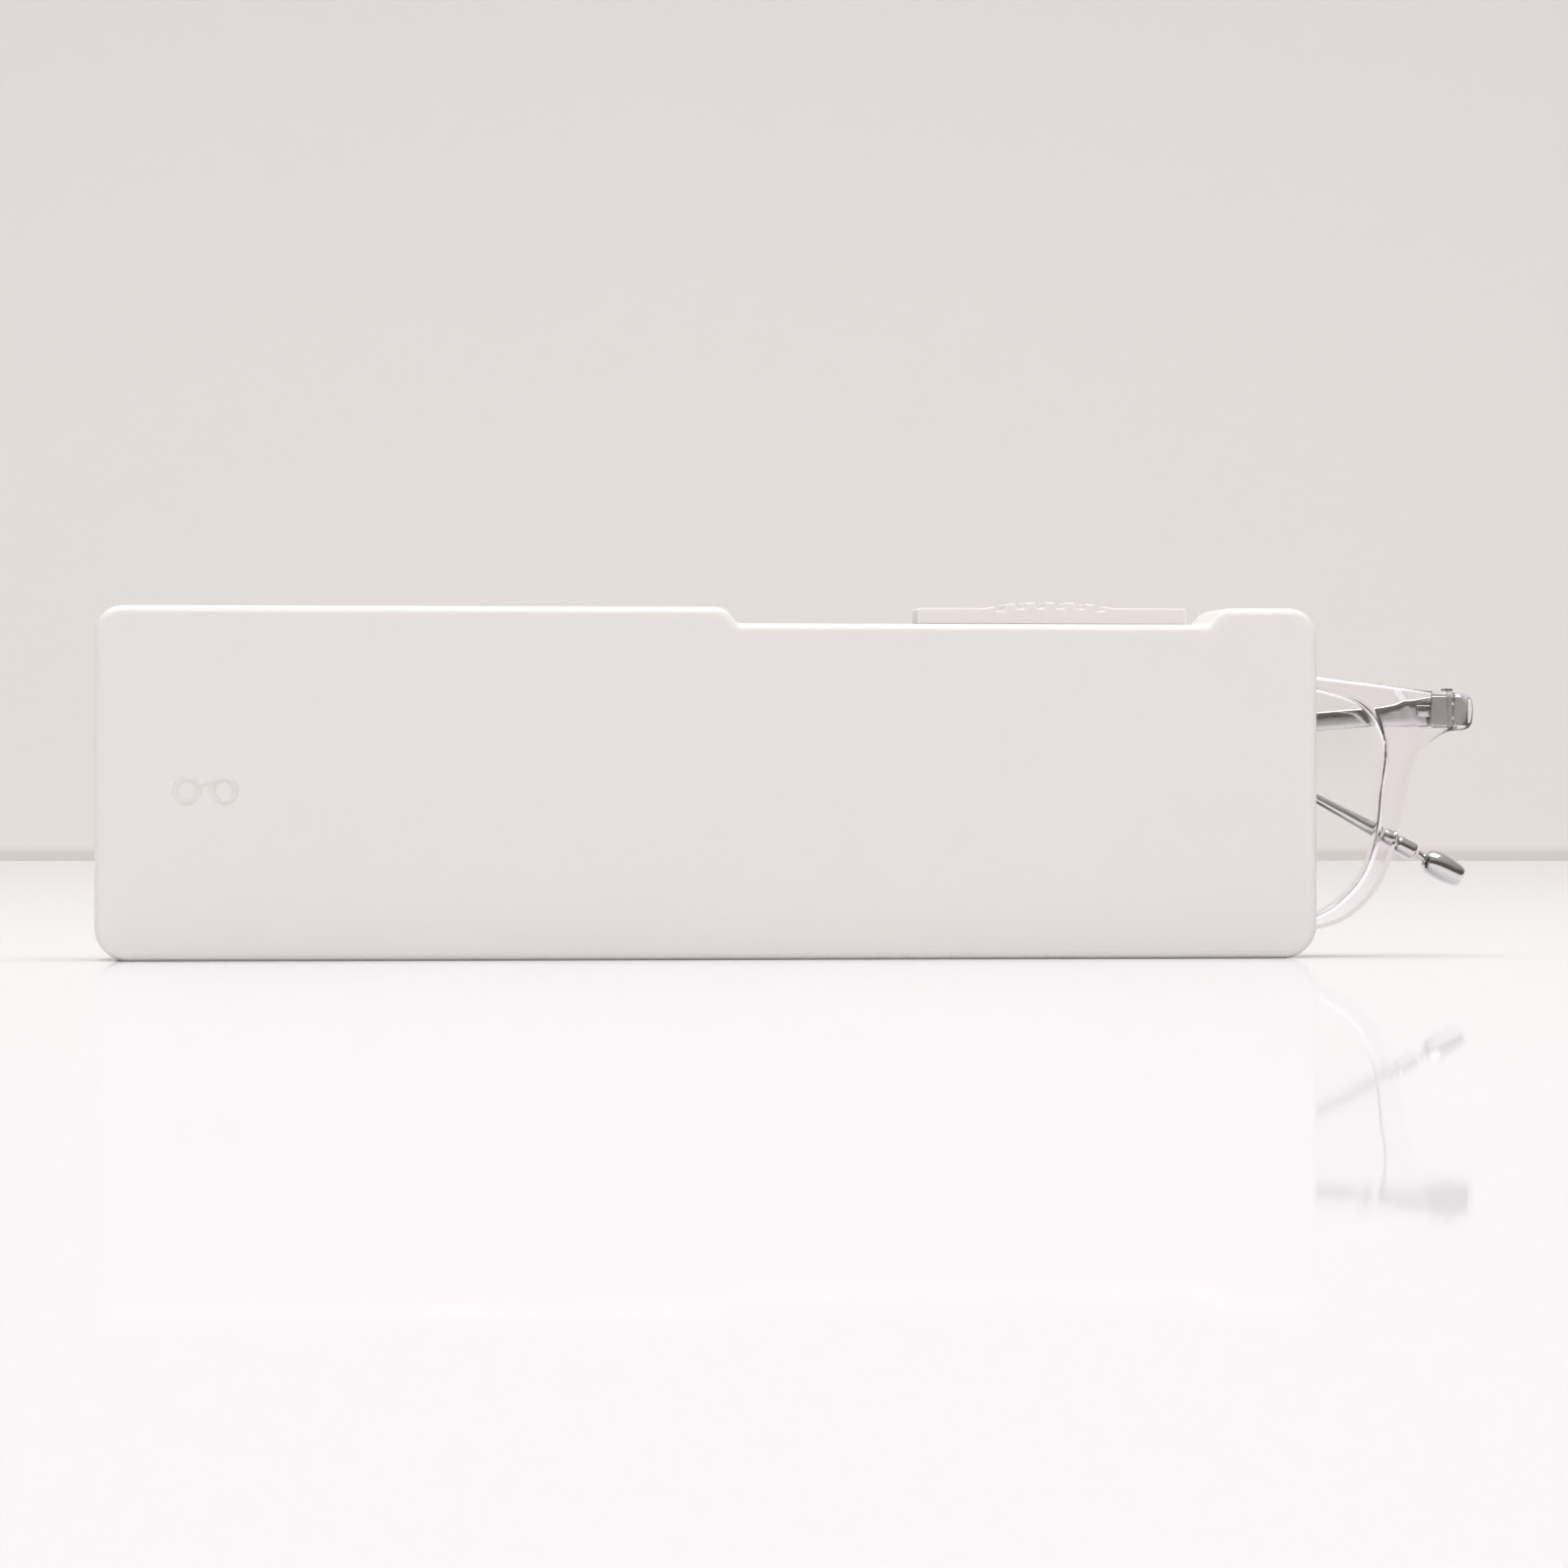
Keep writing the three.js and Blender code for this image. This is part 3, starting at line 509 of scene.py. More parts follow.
def cavity_cutter():
    """The whole inside, from its round-edged closed end to the widening lip of the mouth."""
    end_round = 1.0
    end_shrink = 0.95              # keeps the section's rounded corners from closing up
    past_end = 0.02                # keeps the lip's last ring off the case's end face
    left = CASE_LOW.x + WALL
    mouth = CASE_END + past_end
    stations = []
    steps = 6
    for k in range(steps + 1):
        angle = QUARTER * k / steps
        stations.append((left + end_round * (1 - math.cos(angle)),
                         end_round * (1 - math.sin(angle)) * end_shrink))
    for x in (RECESS_LEFT - RAMP_RUN - WALL, RECESS_LEFT - WALL,
              RECESS_RIGHT + WALL, RECESS_RIGHT + RAMP_RUN + WALL):
        stations.append((x, 0))
    for k in range(steps + 1):
        angle = QUARTER * k / steps
        stations.append((mouth - MOUTH_LIP + MOUTH_LIP * math.sin(angle),
                         -MOUTH_LIP * (1 - math.cos(angle))))
    stations.append((mouth + 4, -MOUTH_LIP))
    rings = []
    for x, shrink in stations:
        section = rounded_rectangle(-INNER_FACE, WALL, INNER_FACE, cavity_ceiling(x), 1)
        rings.append([(x, p.x, p.y) for p in inset(section, shrink)])
    return loft("cavity", rings)


def slot_cutter():
    left, right, half = SLOT
    section = rounded_rectangle(left, -half, right, half, half, 10)
    lip = 0.25
    rings = [[(p.x, p.y, RECESS_FLOOR - 2 * WALL) for p in section]]
    steps = 4
    for k in range(steps + 1):
        angle = QUARTER * k / steps
        z = RECESS_FLOOR - lip + lip * math.sin(angle)
        rings.append([(p.x, p.y, z) for p in inset(section, -lip * (1 - math.cos(angle)))])
    rings.append([(x, y, RECESS_FLOOR + 1) for x, y, _ in rings[-1]])
    return loft("slot", rings)


EMBLEM_X = -64.3
EMBLEM_Z = 21.5
EMBLEM_SPACING = 2.35
EMBLEM_RADIUS = 1.45
EMBLEM_GROOVE = 0.5                # radius of the round groove's section
EMBLEM_DEPTH = 0.3


def groove_cutter(centre_x, centre_z, radius, start, end):
    """A bent round bar that presses a groove into the front along an arc from start to end."""
    y = CASE_LOW.y + EMBLEM_DEPTH - EMBLEM_GROOVE
    whole = end - start >= 2 * math.pi - 1e-6
    steps = 64 if whole else 20
    rings = []
    for k in range(steps if whole else steps + 1):
        along = start + (end - start) * k / steps
        ring = []
        for s in range(20):
            angle = 2 * math.pi * s / 20
            reach = radius + EMBLEM_GROOVE * math.cos(angle)
            ring.append((centre_x + reach * math.cos(along), y + EMBLEM_GROOVE * math.sin(angle),
                         centre_z + reach * math.sin(along)))
        rings.append(ring)
    return loft("groove", rings, closed=whole)


def press_emblem(shell):
    """A plain pair of round spectacles, pressed lightly into the front."""
    for side in (-1, 1):
        x = EMBLEM_X + side * EMBLEM_SPACING
        carve(shell, groove_cutter(x, EMBLEM_Z, EMBLEM_RADIUS, 0, 2 * math.pi))
    gap = EMBLEM_SPACING - EMBLEM_RADIUS
    carve(shell, groove_cutter(EMBLEM_X, EMBLEM_Z + 0.1, gap, math.radians(20), math.radians(160)))


def ledge(y_low, y_high):
    low = (LEDGE_LOW[0], y_low, LEDGE_LOW[1])
    high = (LEDGE_HIGH[0], y_high, LEDGE_HIGH[1])
    return rounded_block("ledge", low, high, 0.2)


def seam_tongue():
    """Closes the seam between the shells just below their outer surface."""
    outline = case_outline()
    depth, inner_depth = 0.4, 1.1
    gap, overlap = 0.03, 0.3
    outer = inset(outline, depth)
    inner = inset(outline, inner_depth)
    y_low = FRONT_SHELL_BACK + gap
    y_high = BACK_SHELL_FRONT + overlap
    rings = []
    for points, y in ((outer, y_low), (outer, y_high), (inner, y_high), (inner, y_low)):
        rings.append([(p.x, y, p.y) for p in points])
    return loft("tongue", rings, closed=True)


def hollow_out(shell):
    carve(shell, cavity_cutter())
    carve(shell, slot_cutter())


def build_case():
    outline = case_outline()
    intrusion = INNER_FACE + WALL / 2
    ledge_inner = 2.6
    steps = 10
    front = plate("case_front", outline, CASE_LOW.y, FRONT_SHELL_BACK, EDGE_FILLET, SEAM_EDGE, steps)
    hollow_out(front)
    carve(front, ledge(-intrusion, -ledge_inner), "UNION")
    press_emblem(front)
    dress(clean(front), CASE_PLASTIC, "case_plastic", "case", "case_front_shell")

    back = plate("case_back", outline, BACK_SHELL_FRONT, CASE_HIGH.y, SEAM_EDGE, EDGE_FILLET, steps)
    carve(back, seam_tongue(), "UNION")
    hollow_out(back)
    carve(back, ledge(ledge_inner, intrusion), "UNION")
    dress(clean(back), CASE_PLASTIC, "case_plastic", "case", "case_back_shell")


def build_lining():
    """A felt trough that lines the cavity's floor and both its sides."""
    outer, inner = 6.45, 6.1
    low, high = cad_box("felt_liner")
    floor = low.z + 0.35
    lip, outer_round, inner_round = 0.16, 1.2, 0.85
    section = rounded_polygon([
        (-outer, low.z, outer_round), (outer, low.z, outer_round),
        (outer, high.z, lip), (inner, high.z, lip),
        (inner, floor, inner_round), (-inner, floor, inner_round),
        (-inner, high.z, lip), (-outer, high.z, lip)])
    steps = 60
    rings = []
    for k in range(steps + 1):
        x = low.x + (high.x - low.x) * k / steps
        rings.append([(x, p.x, p.y) for p in section])
    dress(loft("lining", rings), FELT, "felt", "case", "felt_liner")


# ---------------- slider and carriage

def crown(x):
    """Height of the button's gently domed top."""
    away = min(abs(x - CROWN_X) / CROWN_HALF, 1)
    return BUTTON_SHOULDER + CROWN_RISE * (1 - away ** 3)


def button_outline():
    """The button from the front: a low plate, a domed middle and six grooves across it."""
    lip, root, shoulder = 0.24, 0.2, 0.45
    corners = [(BUTTON_LOW.x, BUTTON_BOTTOM, lip), (BUTTON_HIGH.x, BUTTON_BOTTOM, lip),
               (BUTTON_HIGH.x, BUTTON_SHOULDER, shoulder)]
    grooves = [CROWN_X + (i - 2.5) * RIB_PITCH for i in range(6)]
    first_rib_end = grooves[-1] + GROOVE_WIDTH / 2
    slope_steps = 2
    for k in range(slope_steps):
        x = CROWN_X + CROWN_HALF - (CROWN_X + CROWN_HALF - first_rib_end) * k / slope_steps
        corners.append((x, crown(x), 0))
    for x in reversed(grooves):
        right, left = x + GROOVE_WIDTH / 2, x - GROOVE_WIDTH / 2
        bottom = crown(x) - GROOVE_DEPTH
        corners += [(right, crown(right), lip), (right, bottom, root), (left, bottom, root),
                    (left, crown(left), lip)]
    last_rib_end = grooves[0] - GROOVE_WIDTH / 2
    for k in range(1, slope_steps + 1):
        x = last_rib_end - (last_rib_end - CROWN_X + CROWN_HALF) * k / slope_steps
        corners.append((x, crown(x), 0))
    corners.append((BUTTON_LOW.x, BUTTON_SHOULDER, shoulder))
    return rounded_polygon(corners, 15)


def softened(name, node, width):
    """A copy of a CAD node with its hard edges rounded."""
    source = frame["nodes"][node].data
    obj = add_object(name, source.copy())
    obj.data.name = name
    bm = bmesh.new()
    bm.from_mesh(obj.data)
    bmesh.ops.scale(bm, vec=(1 / MM, 1 / MM, 1 / MM), verts=bm.verts)
    bmesh.ops.remove_doubles(bm, verts=bm.verts, dist=1e-3)
    bmesh.ops.dissolve_limit(bm, angle_limit=math.radians(1), verts=bm.verts, edges=bm.edges)
    hard = [edge for edge in bm.edges
            if len(edge.link_faces) == 2 and edge.calc_face_angle(0) > math.radians(35)]
    bmesh.ops.bevel(bm, geom=hard, offset=width, segments=3, profile=0.5, affect="EDGES",
                    clamp_overlap=True)
    bm.to_mesh(obj.data)
    bm.free()
    return clean(obj)


def build_carriage():
    half = BUTTON_HIGH.y
    edge, margin = 0.18, 0.03
    cap = plate("slider_cap", button_outline(), -half, half, edge, edge, 5, margin)
    left, right, neck_half = NECK
    neck_top = RECESS_FLOOR + 1
    neck = rounded_block("neck", (left, -neck_half, BUTTON_LOW.z), (right, neck_half, neck_top), 0.2)
    carve(cap, neck, "UNION")
    dress(clean(cap), CASE_PLASTIC, "case_plastic", "carriage", "slider_button")

    rail = softened("rail", "carriage_rail", 0.25)
    dress(rail, INNER_PLASTIC, "inner_plastic", "carriage", "carriage_rail")
    cushion = softened("pusher_cushion", "pusher_pad", 0.2)
    dress(cushion, SILICONE, "silicone", "carriage", "pusher_pad")
    for number in (1, 2):
        node = f"slider_screw_{number}"
        screw = softened(f"rail_screw_{number}", node, 0.12)
        dress(screw, POLISHED_STEEL, "polished_steel", "carriage", node)
    spring = softened("click_spring", "detent_spring", 0.05)
    dress(spring, SPRING_STEEL, "spring_steel", "carriage", "detent_spring")


# ---------------- glasses front

# Half of the front's outline, from the top of the bridge round to its underside:
# distance from the bridge, then height.
HALF_FRONT = [
    (5, 33.4), (11, 35.4), (22, 36.8), (34, 37), (45, 36.7), (56, 35.6), (65.5, 34.5),
    (69.8, 34.2), (70.7, 33.8), (71, 33),
    (71, 31.2), (70.8, 30.1), (70.2, 29.5), (67.4, 29.1), (64.1, 26.8),
    (62.7, 24), (61.7, 19.6), (60.9, 15.8), (59.6, 11.6), (57.6, 8), (54, 4.9),
    (49.8, 3.5), (42.5, 2.75), (33.9, 2.6), (24, 3), (15.4, 5.6), (10.4, 10.4),
    (7.5, 16), (5.9, 20.4), (3.4, 23.9),
]

# Lens outline about its own centre, temple side first.
LENS_OUTLINE = [
    (25.4, 6.6), (25, 9.4), (22.6, 12.8), (16.4, 15), (6, 15.6), (-8, 15.6), (-18.6, 14.9),
    (-23.6, 12.4), (-25.4, 7.6), (-25, 2), (-23.4, -4), (-20.2, -9.6), (-14.6, -13.8),
    (-6, -15.5), (4, -15.7), (13, -15.2), (18.3, -13.2), (22.4, -9), (24.1, -4), (24.8, 2),
]


def bend(x):
    """How far the front falls back at a distance x from the bridge."""
    return x * x / (2 * FRONT_BEND)


def lens_loop(side, count):
    """The lens opening's outline, anticlockwise, in the glasses' own X and Z."""
    points = [Vector((side * (LENS_CENTRE.x + x), LENS_CENTRE.y + z)) for x, z in LENS_OUTLINE]
    if side < 0:
        points.reverse()
    return smooth_outline(points, count)


def front_loops():
    """The front's outline, anticlockwise, and its two lens openings, clockwise."""
    right = [Vector(p) for p in reversed(HALF_FRONT)]
    left = [Vector((-x, z)) for x, z in HALF_FRONT]
    loops = [smooth_outline(right + left, 520)]
    for side in (-1, 1):
        loops.append(lens_loop(side, 260)[::-1])
    return loops


def inside(points, loop):
    """Which of the points lie inside a closed loop."""
    x, y = points[:, 0], points[:, 1]
    ring = np.array([tuple(p) for p in loop])
    after = np.roll(ring, -1, axis=0)
    hits = np.zeros(len(points), int)
    for (ax, ay), (bx, by) in zip(ring, after):
        crosses = (ay > y) != (by > y)
        rise = by - ay if by != ay else 1e-12
        hits += crosses & (x < ax + (y - ay) * (bx - ax) / rise)
    return hits % 2 == 1


def distance_to(points, loop):
    """Distance from each point to the nearest of a loop's points."""
    ring = np.array([tuple(p) for p in loop])
    return np.sqrt(((points[:, None, :] - ring[None, :, :]) ** 2).sum(2)).min(1)


def cap_triangles(loops, spacing):
    """An even triangulation between an outline and its holes, as points and faces."""
    border = np.array([tuple(p) for loop in loops for p in loop])
    low, high = border.min(0), border.max(0)
    xs, zs = np.meshgrid(np.arange(low[0], high[0], spacing), np.arange(low[1], high[1], spacing))
    xs[1::2] += spacing / 2
    grid = np.stack([xs.ravel(), zs.ravel()], 1)
    keep = inside(grid, loops[0]) & (distance_to(grid, border) > spacing * 0.6)
    for hole in loops[1:]:
        keep &= ~inside(grid, hole)
    points = [Vector(p) for p in border] + [Vector(p) for p in grid[keep]]
    edges = []
    start = 0
    for loop in loops:
        count = len(loop)
        edges += [(start + i, start + (i + 1) % count) for i in range(count)]
        start += count
    found = geometry.delaunay_2d_cdt(points, edges, [], 0, 1e-7)
    flat = np.array([tuple(p) for p in found[0]])
    faces = np.array([tuple(f) for f in found[2]])
    middles = flat[faces].mean(1)
    good = inside(middles, loops[0])
    for hole in loops[1:]:
        good &= ~inside(middles, hole)
    return flat, faces[good]


CAP_MARGIN = 0.08                  # flat border between a rounded rim and the face inside it
RIM_WIDTH = 4.0                    # the raised rim round each lens, on the outer side
RIM_STEP = 0.35
RIM_BLEND = 0.7
END_PIECE_START = 52               # distance from the bridge where the front starts to step back
END_PIECE_BLEND = 4


def front_relief(points, lens_loops):
    """How far the front surface is set back: not at all on the rims, a little on the end pieces."""
    nearest = np.minimum(*[distance_to(points, loop) for loop in lens_loops])
    share = np.clip((nearest - RIM_WIDTH) / RIM_BLEND, 0, 1)
    off_rim = share * share * (3 - 2 * share)
    outer = np.clip((np.abs(points[:, 0]) - END_PIECE_START) / END_PIECE_BLEND, 0, 1)
    return RIM_STEP * off_rim * outer


def build_front():
    """The clear front: rounded sides round the outline and both openings, and a face on each side."""
    loops = front_loops()
    back = FRONT_FACE + FRONT_THICKNESS
    verts, faces = [], []
    rows = rounded_rows(FRONT_FACE, back, FRONT_EDGE, FRONT_EDGE, 5, CAP_MARGIN)
    for loop in loops:
        faces += skin(len(rows), len(loop), len(verts))
        for distance, y in rows:
            moved = np.array([tuple(p) for p in inset(loop, distance)])
            near_front = np.clip((back - y) / FRONT_THICKNESS, 0, 1)
            depth = y + near_front * front_relief(moved, loops[1:])
            verts += [(p[0], d, p[1]) for p, d in zip(moved, depth)]
    rims = [inset(loop, FRONT_EDGE + CAP_MARGIN) for loop in loops]
    flat, triangles = cap_triangles(rims, 0.8)
    relief = front_relief(flat, loops[1:])
    for y, depth in ((FRONT_FACE, relief), (back, np.zeros(len(flat)))):
        start = len(verts)
        verts += [(p[0], y + d, p[1]) for p, d in zip(flat, depth)]
        faces += [tuple(int(i) + start for i in triangle) for triangle in triangles]
    bent = [(x + BRIDGE_X, y + bend(x), z) for x, y, z in verts]
    front = clean(new_object("front_frame", bent, faces), 50)
    dress(front, CLEAR_PLASTIC, "clear_plastic", "glasses", "frame_front")


LENS_GAP = 0.12
LENS_BULGE = 0.45
LENS_EDGE = 0.3
LENS_HALF_WIDTH = 25.4


def build_lens(name, side):
    """A lens with a shallow bulge and a polished rim."""
    loop = inset(lens_loop(side, 200), LENS_GAP)
    centre = Vector((side * LENS_CENTRE.x, LENS_CENTRE.y))
    face = FRONT_FACE + (FRONT_THICKNESS - LENS_THICKNESS) / 2

    def bulge(x, z):
        away = (Vector((x, z)) - centre).length / LENS_HALF_WIDTH
        return -LENS_BULGE * max(0.0, 1 - away * away)

    rows = rounded_rows(face, face + LENS_THICKNESS, LENS_EDGE, LENS_EDGE, 4, CAP_MARGIN)
    verts = []
    faces = skin(len(rows), len(loop))
    for distance, y in rows:
        for p in inset(loop, distance):
            verts.append((p.x, y + bulge(p.x, p.y), p.y))
    flat, triangles = cap_triangles([inset(loop, LENS_EDGE + CAP_MARGIN)], 1.2)
    for y in (face, face + LENS_THICKNESS):
        start = len(verts)
        verts += [(p[0], y + bulge(p[0], p[1]), p[1]) for p in flat]
        faces += [tuple(int(i) + start for i in triangle) for triangle in triangles]
    bent = [(x + BRIDGE_X, y + bend(x), z) for x, y, z in verts]
    lens = clean(new_object(f"clear_lens_{name}", bent, faces), 50)
    dress(lens, LENS_GLASS, "lens_glass", "glasses", f"lens_{name}")


def build_nose_pad(name, side):
    """A bean-shaped pad, flatter where it meets the front."""
    low, high = cad_box(f"nose_pad_{name}")
    centre = (low + high) / 2
    tilt = math.radians(14) * -side
    half_thickness, half_depth, half_height = 1.08, 2.15, 5.4
    fullness = 0.8                 # below 1 makes the ends blunter than an ellipsoid's
    rows, sides = 24, 32
    rings = []
    for r in range(1, rows):
        polar = math.pi * r / rows
        ring = []
        for s in range(sides):
            around = 2 * math.pi * s / sides
            x = half_thickness * math.sin(polar) ** fullness * math.cos(around)
            y = half_depth * math.sin(polar) ** fullness * math.sin(around)
            z = half_height * math.cos(polar)
            bow = 0.35 if y < 0 else 0.14
            y -= bow * math.cos(2 * polar) * abs(math.sin(around)) * 0.5
            turned_x = x * math.cos(tilt) - y * math.sin(tilt)
            turned_y = x * math.sin(tilt) + y * math.cos(tilt)
            ring.append((centre.x + turned_x, centre.y + turned_y, centre.z + z))
        rings.append(ring)
    pad = loft(f"soft_pad_{name}", rings)
    dress(pad, SILICONE, "silicone", "glasses", f"nose_pad_{name}")


# ---------------- hinges and temples

KNUCKLE_LOW = HINGE_Z - MIDDLE_KNUCKLE / 2 - KNUCKLE_GAP
KNUCKLE_TOP = HINGE_Z + MIDDLE_KNUCKLE / 2 + KNUCKLE_GAP
BARRELS_LOW = KNUCKLE_LOW - KNUCKLE_HEIGHT
BARRELS_TOP = KNUCKLE_TOP + KNUCKLE_HEIGHT


def to_hinge(name):
    """Moves a piece made round the Z axis to the hinge pin, in millimetres."""
    x, y, _ = JOINT_PLACES[f"temple_{name}_hinge"]
    return Matrix.Translation(Vector((x, y, 0)) / MM)


def build_frame_leaf(name, side):
    """The front's half of the hinge: two barrels on a leaf that is notched round the temple's barrel."""
    near, notch, far = 0.3, KNUCKLE_RADIUS + KNUCKLE_GAP, FRAME_LEAF_LENGTH
    low, high = BARRELS_LOW + LEAF_STEP, BARRELS_TOP - LEAF_STEP
    notch_low, notch_high = KNUCKLE_LOW - LEAF_STEP, KNUCKLE_TOP + LEAF_STEP
    tight, middling, wide = 0.1, 0.2, 0.4
    corners = [(near, low, tight), (far, low, wide), (far, high, wide), (near, high, tight),
               (near, notch_high, tight), (notch, notch_high, middling),
               (notch, notch_low, middling), (near, notch_low, tight)]
    if side > 0:
        corners = [(-x, z, radius) for x, z, radius in reversed(corners)]
    y_front, y_back = -1.2, -0.75
    rim, margin = 0.08, 0.01
    leaf = plate(f"frame_leaf_{name}", rounded_polygon(corners, 20), y_front, y_back, rim, rim, 3, margin)
    carve(leaf, knuckle(BARRELS_LOW, KNUCKLE_LOW), "UNION")
    carve(leaf, knuckle(KNUCKLE_TOP, BARRELS_TOP), "UNION")
    place(clean(leaf), to_hinge(name))
    dress(leaf, POLISHED_STEEL, "polished_steel", "glasses", f"frame_hinge_{name}")


def build_back_plates(name, side):
    """Two thin plates behind the end piece, either side of the barrels."""
    clear_of_pin = 0.4
    low, high = BARRELS_LOW + 0.35, BARRELS_TOP - 0.35
    corner = 0.3
    y_front, y_back = -1.48, -1.24
    front_rim, back_rim, margin = 0.15, 0.06, 0.02
    spans = ((-side * clear_of_pin, -side * FRAME_LEAF_LENGTH),
             (side * clear_of_pin, side * BACK_PLATE_REACH))
    for number, span in enumerate(spans, 1):
        start, end = sorted(span)
        outline = rounded_rectangle(start, low, end, high, corner, 15)
        back_plate = plate(f"frame_plate_{name}_{number}", outline, y_front, y_back,
                           front_rim, back_rim, 4, margin)
        place(back_plate, to_hinge(name))
        dress(back_plate, POLISHED_STEEL, "polished_steel", "glasses", f"frame_hinge_{name}")


def build_hinge_screw(name):
    """The screw stands head up in the barrels."""
    low, head = BARRELS_LOW, BARRELS_TOP + 0.3
    profile = [(low, 0), (low, 0.4), (low + 0.05, 0.45), (head, 0.45), (head, 0.75), (head + 0.1, 0.85),
               (head + 0.28, 0.82), (head + 0.4, 0.6), (head + 0.4, 0)]
    pin = turned(f"hinge_pin_{name}", profile, 32)
    pin.data.transform(Matrix.Rotation(-QUARTER, 4, "Y"))
    half_slot, slot_floor = 0.12, head + 0.22
    driver_slot = rounded_block("driver", (-1, -half_slot, slot_floor), (1, half_slot, head + 1), 0.05)
    carve(pin, driver_slot)
    place(clean(pin), to_hinge(name))
    dress(pin, POLISHED_STEEL, "polished_steel", "glasses", f"hinge_screw_{name}")


BEND_ANGLE = EAR_SLOPE - TEMPLE_SLOPE
TANGENT = EAR_RADIUS * math.tan(BEND_ANGLE / 2)
ARC_START = EAR_REACH - TANGENT * math.cos(TEMPLE_SLOPE)
ARC_END = EAR_REACH + TANGENT * math.cos(EAR_SLOPE)
EAR_Z = HINGE_Z - EAR_REACH * math.tan(TEMPLE_SLOPE)


def temple_height(x):
    """Height of the temple's middle line: straight, one arc behind the ear, straight."""
    if x <= ARC_START:
        return HINGE_Z - x * math.tan(TEMPLE_SLOPE)
    if x >= ARC_END:
        return EAR_Z - (x - EAR_REACH) * math.tan(EAR_SLOPE)
    centre_x = ARC_START - EAR_RADIUS * math.sin(TEMPLE_SLOPE)
    centre_z = HINGE_Z - ARC_START * math.tan(TEMPLE_SLOPE) - EAR_RADIUS * math.cos(TEMPLE_SLOPE)
    return centre_z + math.sqrt(EAR_RADIUS ** 2 - (x - centre_x) ** 2)


def eased(x, low, high):
    """0 up to low, 1 from high on, with a soft start and end between them."""
    share = min(max((x - low) / (high - low), 0), 1)
    return share * share * (3 - 2 * share)


BAR_HALF_WIDTH = 0.4
BAR_HALF_HEIGHT = 1.25
BAR_ROOT_HALF_HEIGHT = 2.1
BAR_TAPER_END = 10                 # where the deep root has come down to the bar's own height
ROD_RADIUS = 0.64
ROUNDING = (20, 100)               # where the flat bar turns round
FLARE_START = 119
FLARE = 0.31                       # how much the rod swells at its collar
BAR_SQUARENESS = 0.55              # the section's exponent: 1 is an ellipse, less is squarer
END_ROUND = 0.5                    # the length over which the bar's end is drawn in


def temple_ring(x):
    """One section of the temple: a crowned flat bar that turns into a thin round rod."""
    rounding = eased(x, *ROUNDING)
    flare = FLARE * eased(x, FLARE_START, ROD_END)
    root = BAR_ROOT_HALF_HEIGHT - BAR_HALF_HEIGHT
    flat_height = BAR_ROOT_HALF_HEIGHT - root * eased(x, BAR_START, BAR_TAPER_END)
    half_width = BAR_HALF_WIDTH + (ROD_RADIUS - BAR_HALF_WIDTH) * rounding + flare
    half_height = flat_height + (ROD_RADIUS - flat_height) * rounding + flare
    squareness = BAR_SQUARENESS + (1 - BAR_SQUARENESS) * rounding
    reach = 0.01
    tilt = math.atan2(temple_height(x + reach) - temple_height(x - reach), 2 * reach)
    drawn_in = 1 - 0.25 * (1 - min((x - BAR_START) / END_ROUND, 1)) ** 2
    sides = 36
    ring = []
    for i in range(sides):
        angle = 2 * math.pi * (i + 0.5) / sides
        c, s = math.cos(angle), math.sin(angle)
        across = half_width * math.copysign(abs(c) ** squareness, c) * drawn_in
        up = half_height * math.copysign(abs(s) ** squareness, s) * drawn_in
        ring.append((x - up * math.sin(tilt), across, temple_height(x) + up * math.cos(tilt)))
    return ring


def temple_stations():
    """Where the temple's sections stand, closer together where its shape changes faster."""
    root_start, root_end = BAR_START + END_ROUND, 12
    start = [BAR_START + END_ROUND * (k / 5) for k in range(5)]
    root = np.linspace(root_start, root_end, 24, endpoint=False)
    straight = np.linspace(root_end, ARC_START, 46, endpoint=False)
    bent = np.linspace(ARC_START, ROD_END, 48)
    return [*start, *root, *straight, *bent]


def along_ear(obj, start_x):
    """Lays a piece turned about X along the temple's ear end, from start_x on."""
    turn = Matrix.Rotation(EAR_SLOPE, 4, "Y")
    return place(obj, Matrix.Translation((start_x, 0, temple_height(start_x))) @ turn)


# (distance along the rod, radius) of the turned pieces on a temple's end
SLEEVE_PROFILE = [
    (0, 0), (0, 0.88), (0.08, 0.98), (0.2, 1.04), (2.1, 1.06), (2.22, 1.02), (2.28, 0.96),
    (2.36, 0.96), (2.42, 1.08), (2.55, 1.15), (2.8, 1.17), (4.75, 1.17), (4.95, 1.13),
    (5.08, 1.02), (5.12, 0.9), (5.12, 0),
]
TIP_PROFILE = [
    (0, 0), (0, 0.62), (0.3, 0.58), (0.7, 0.56), (0.9, 0.62), (1.02, 0.78), (1.12, 1.02),
    (1.28, 1.26), (1.55, 1.48), (1.95, 1.64), (2.5, 1.74), (3.1, 1.78), (3.8, 1.77), (4.5, 1.72),
    (5.1, 1.64), (5.6, 1.55), (6.0, 1.45), (6.28, 1.36), (6.46, 1.24), (6.55, 1.08), (6.57, 0.9),
    (6.57, 0),
]


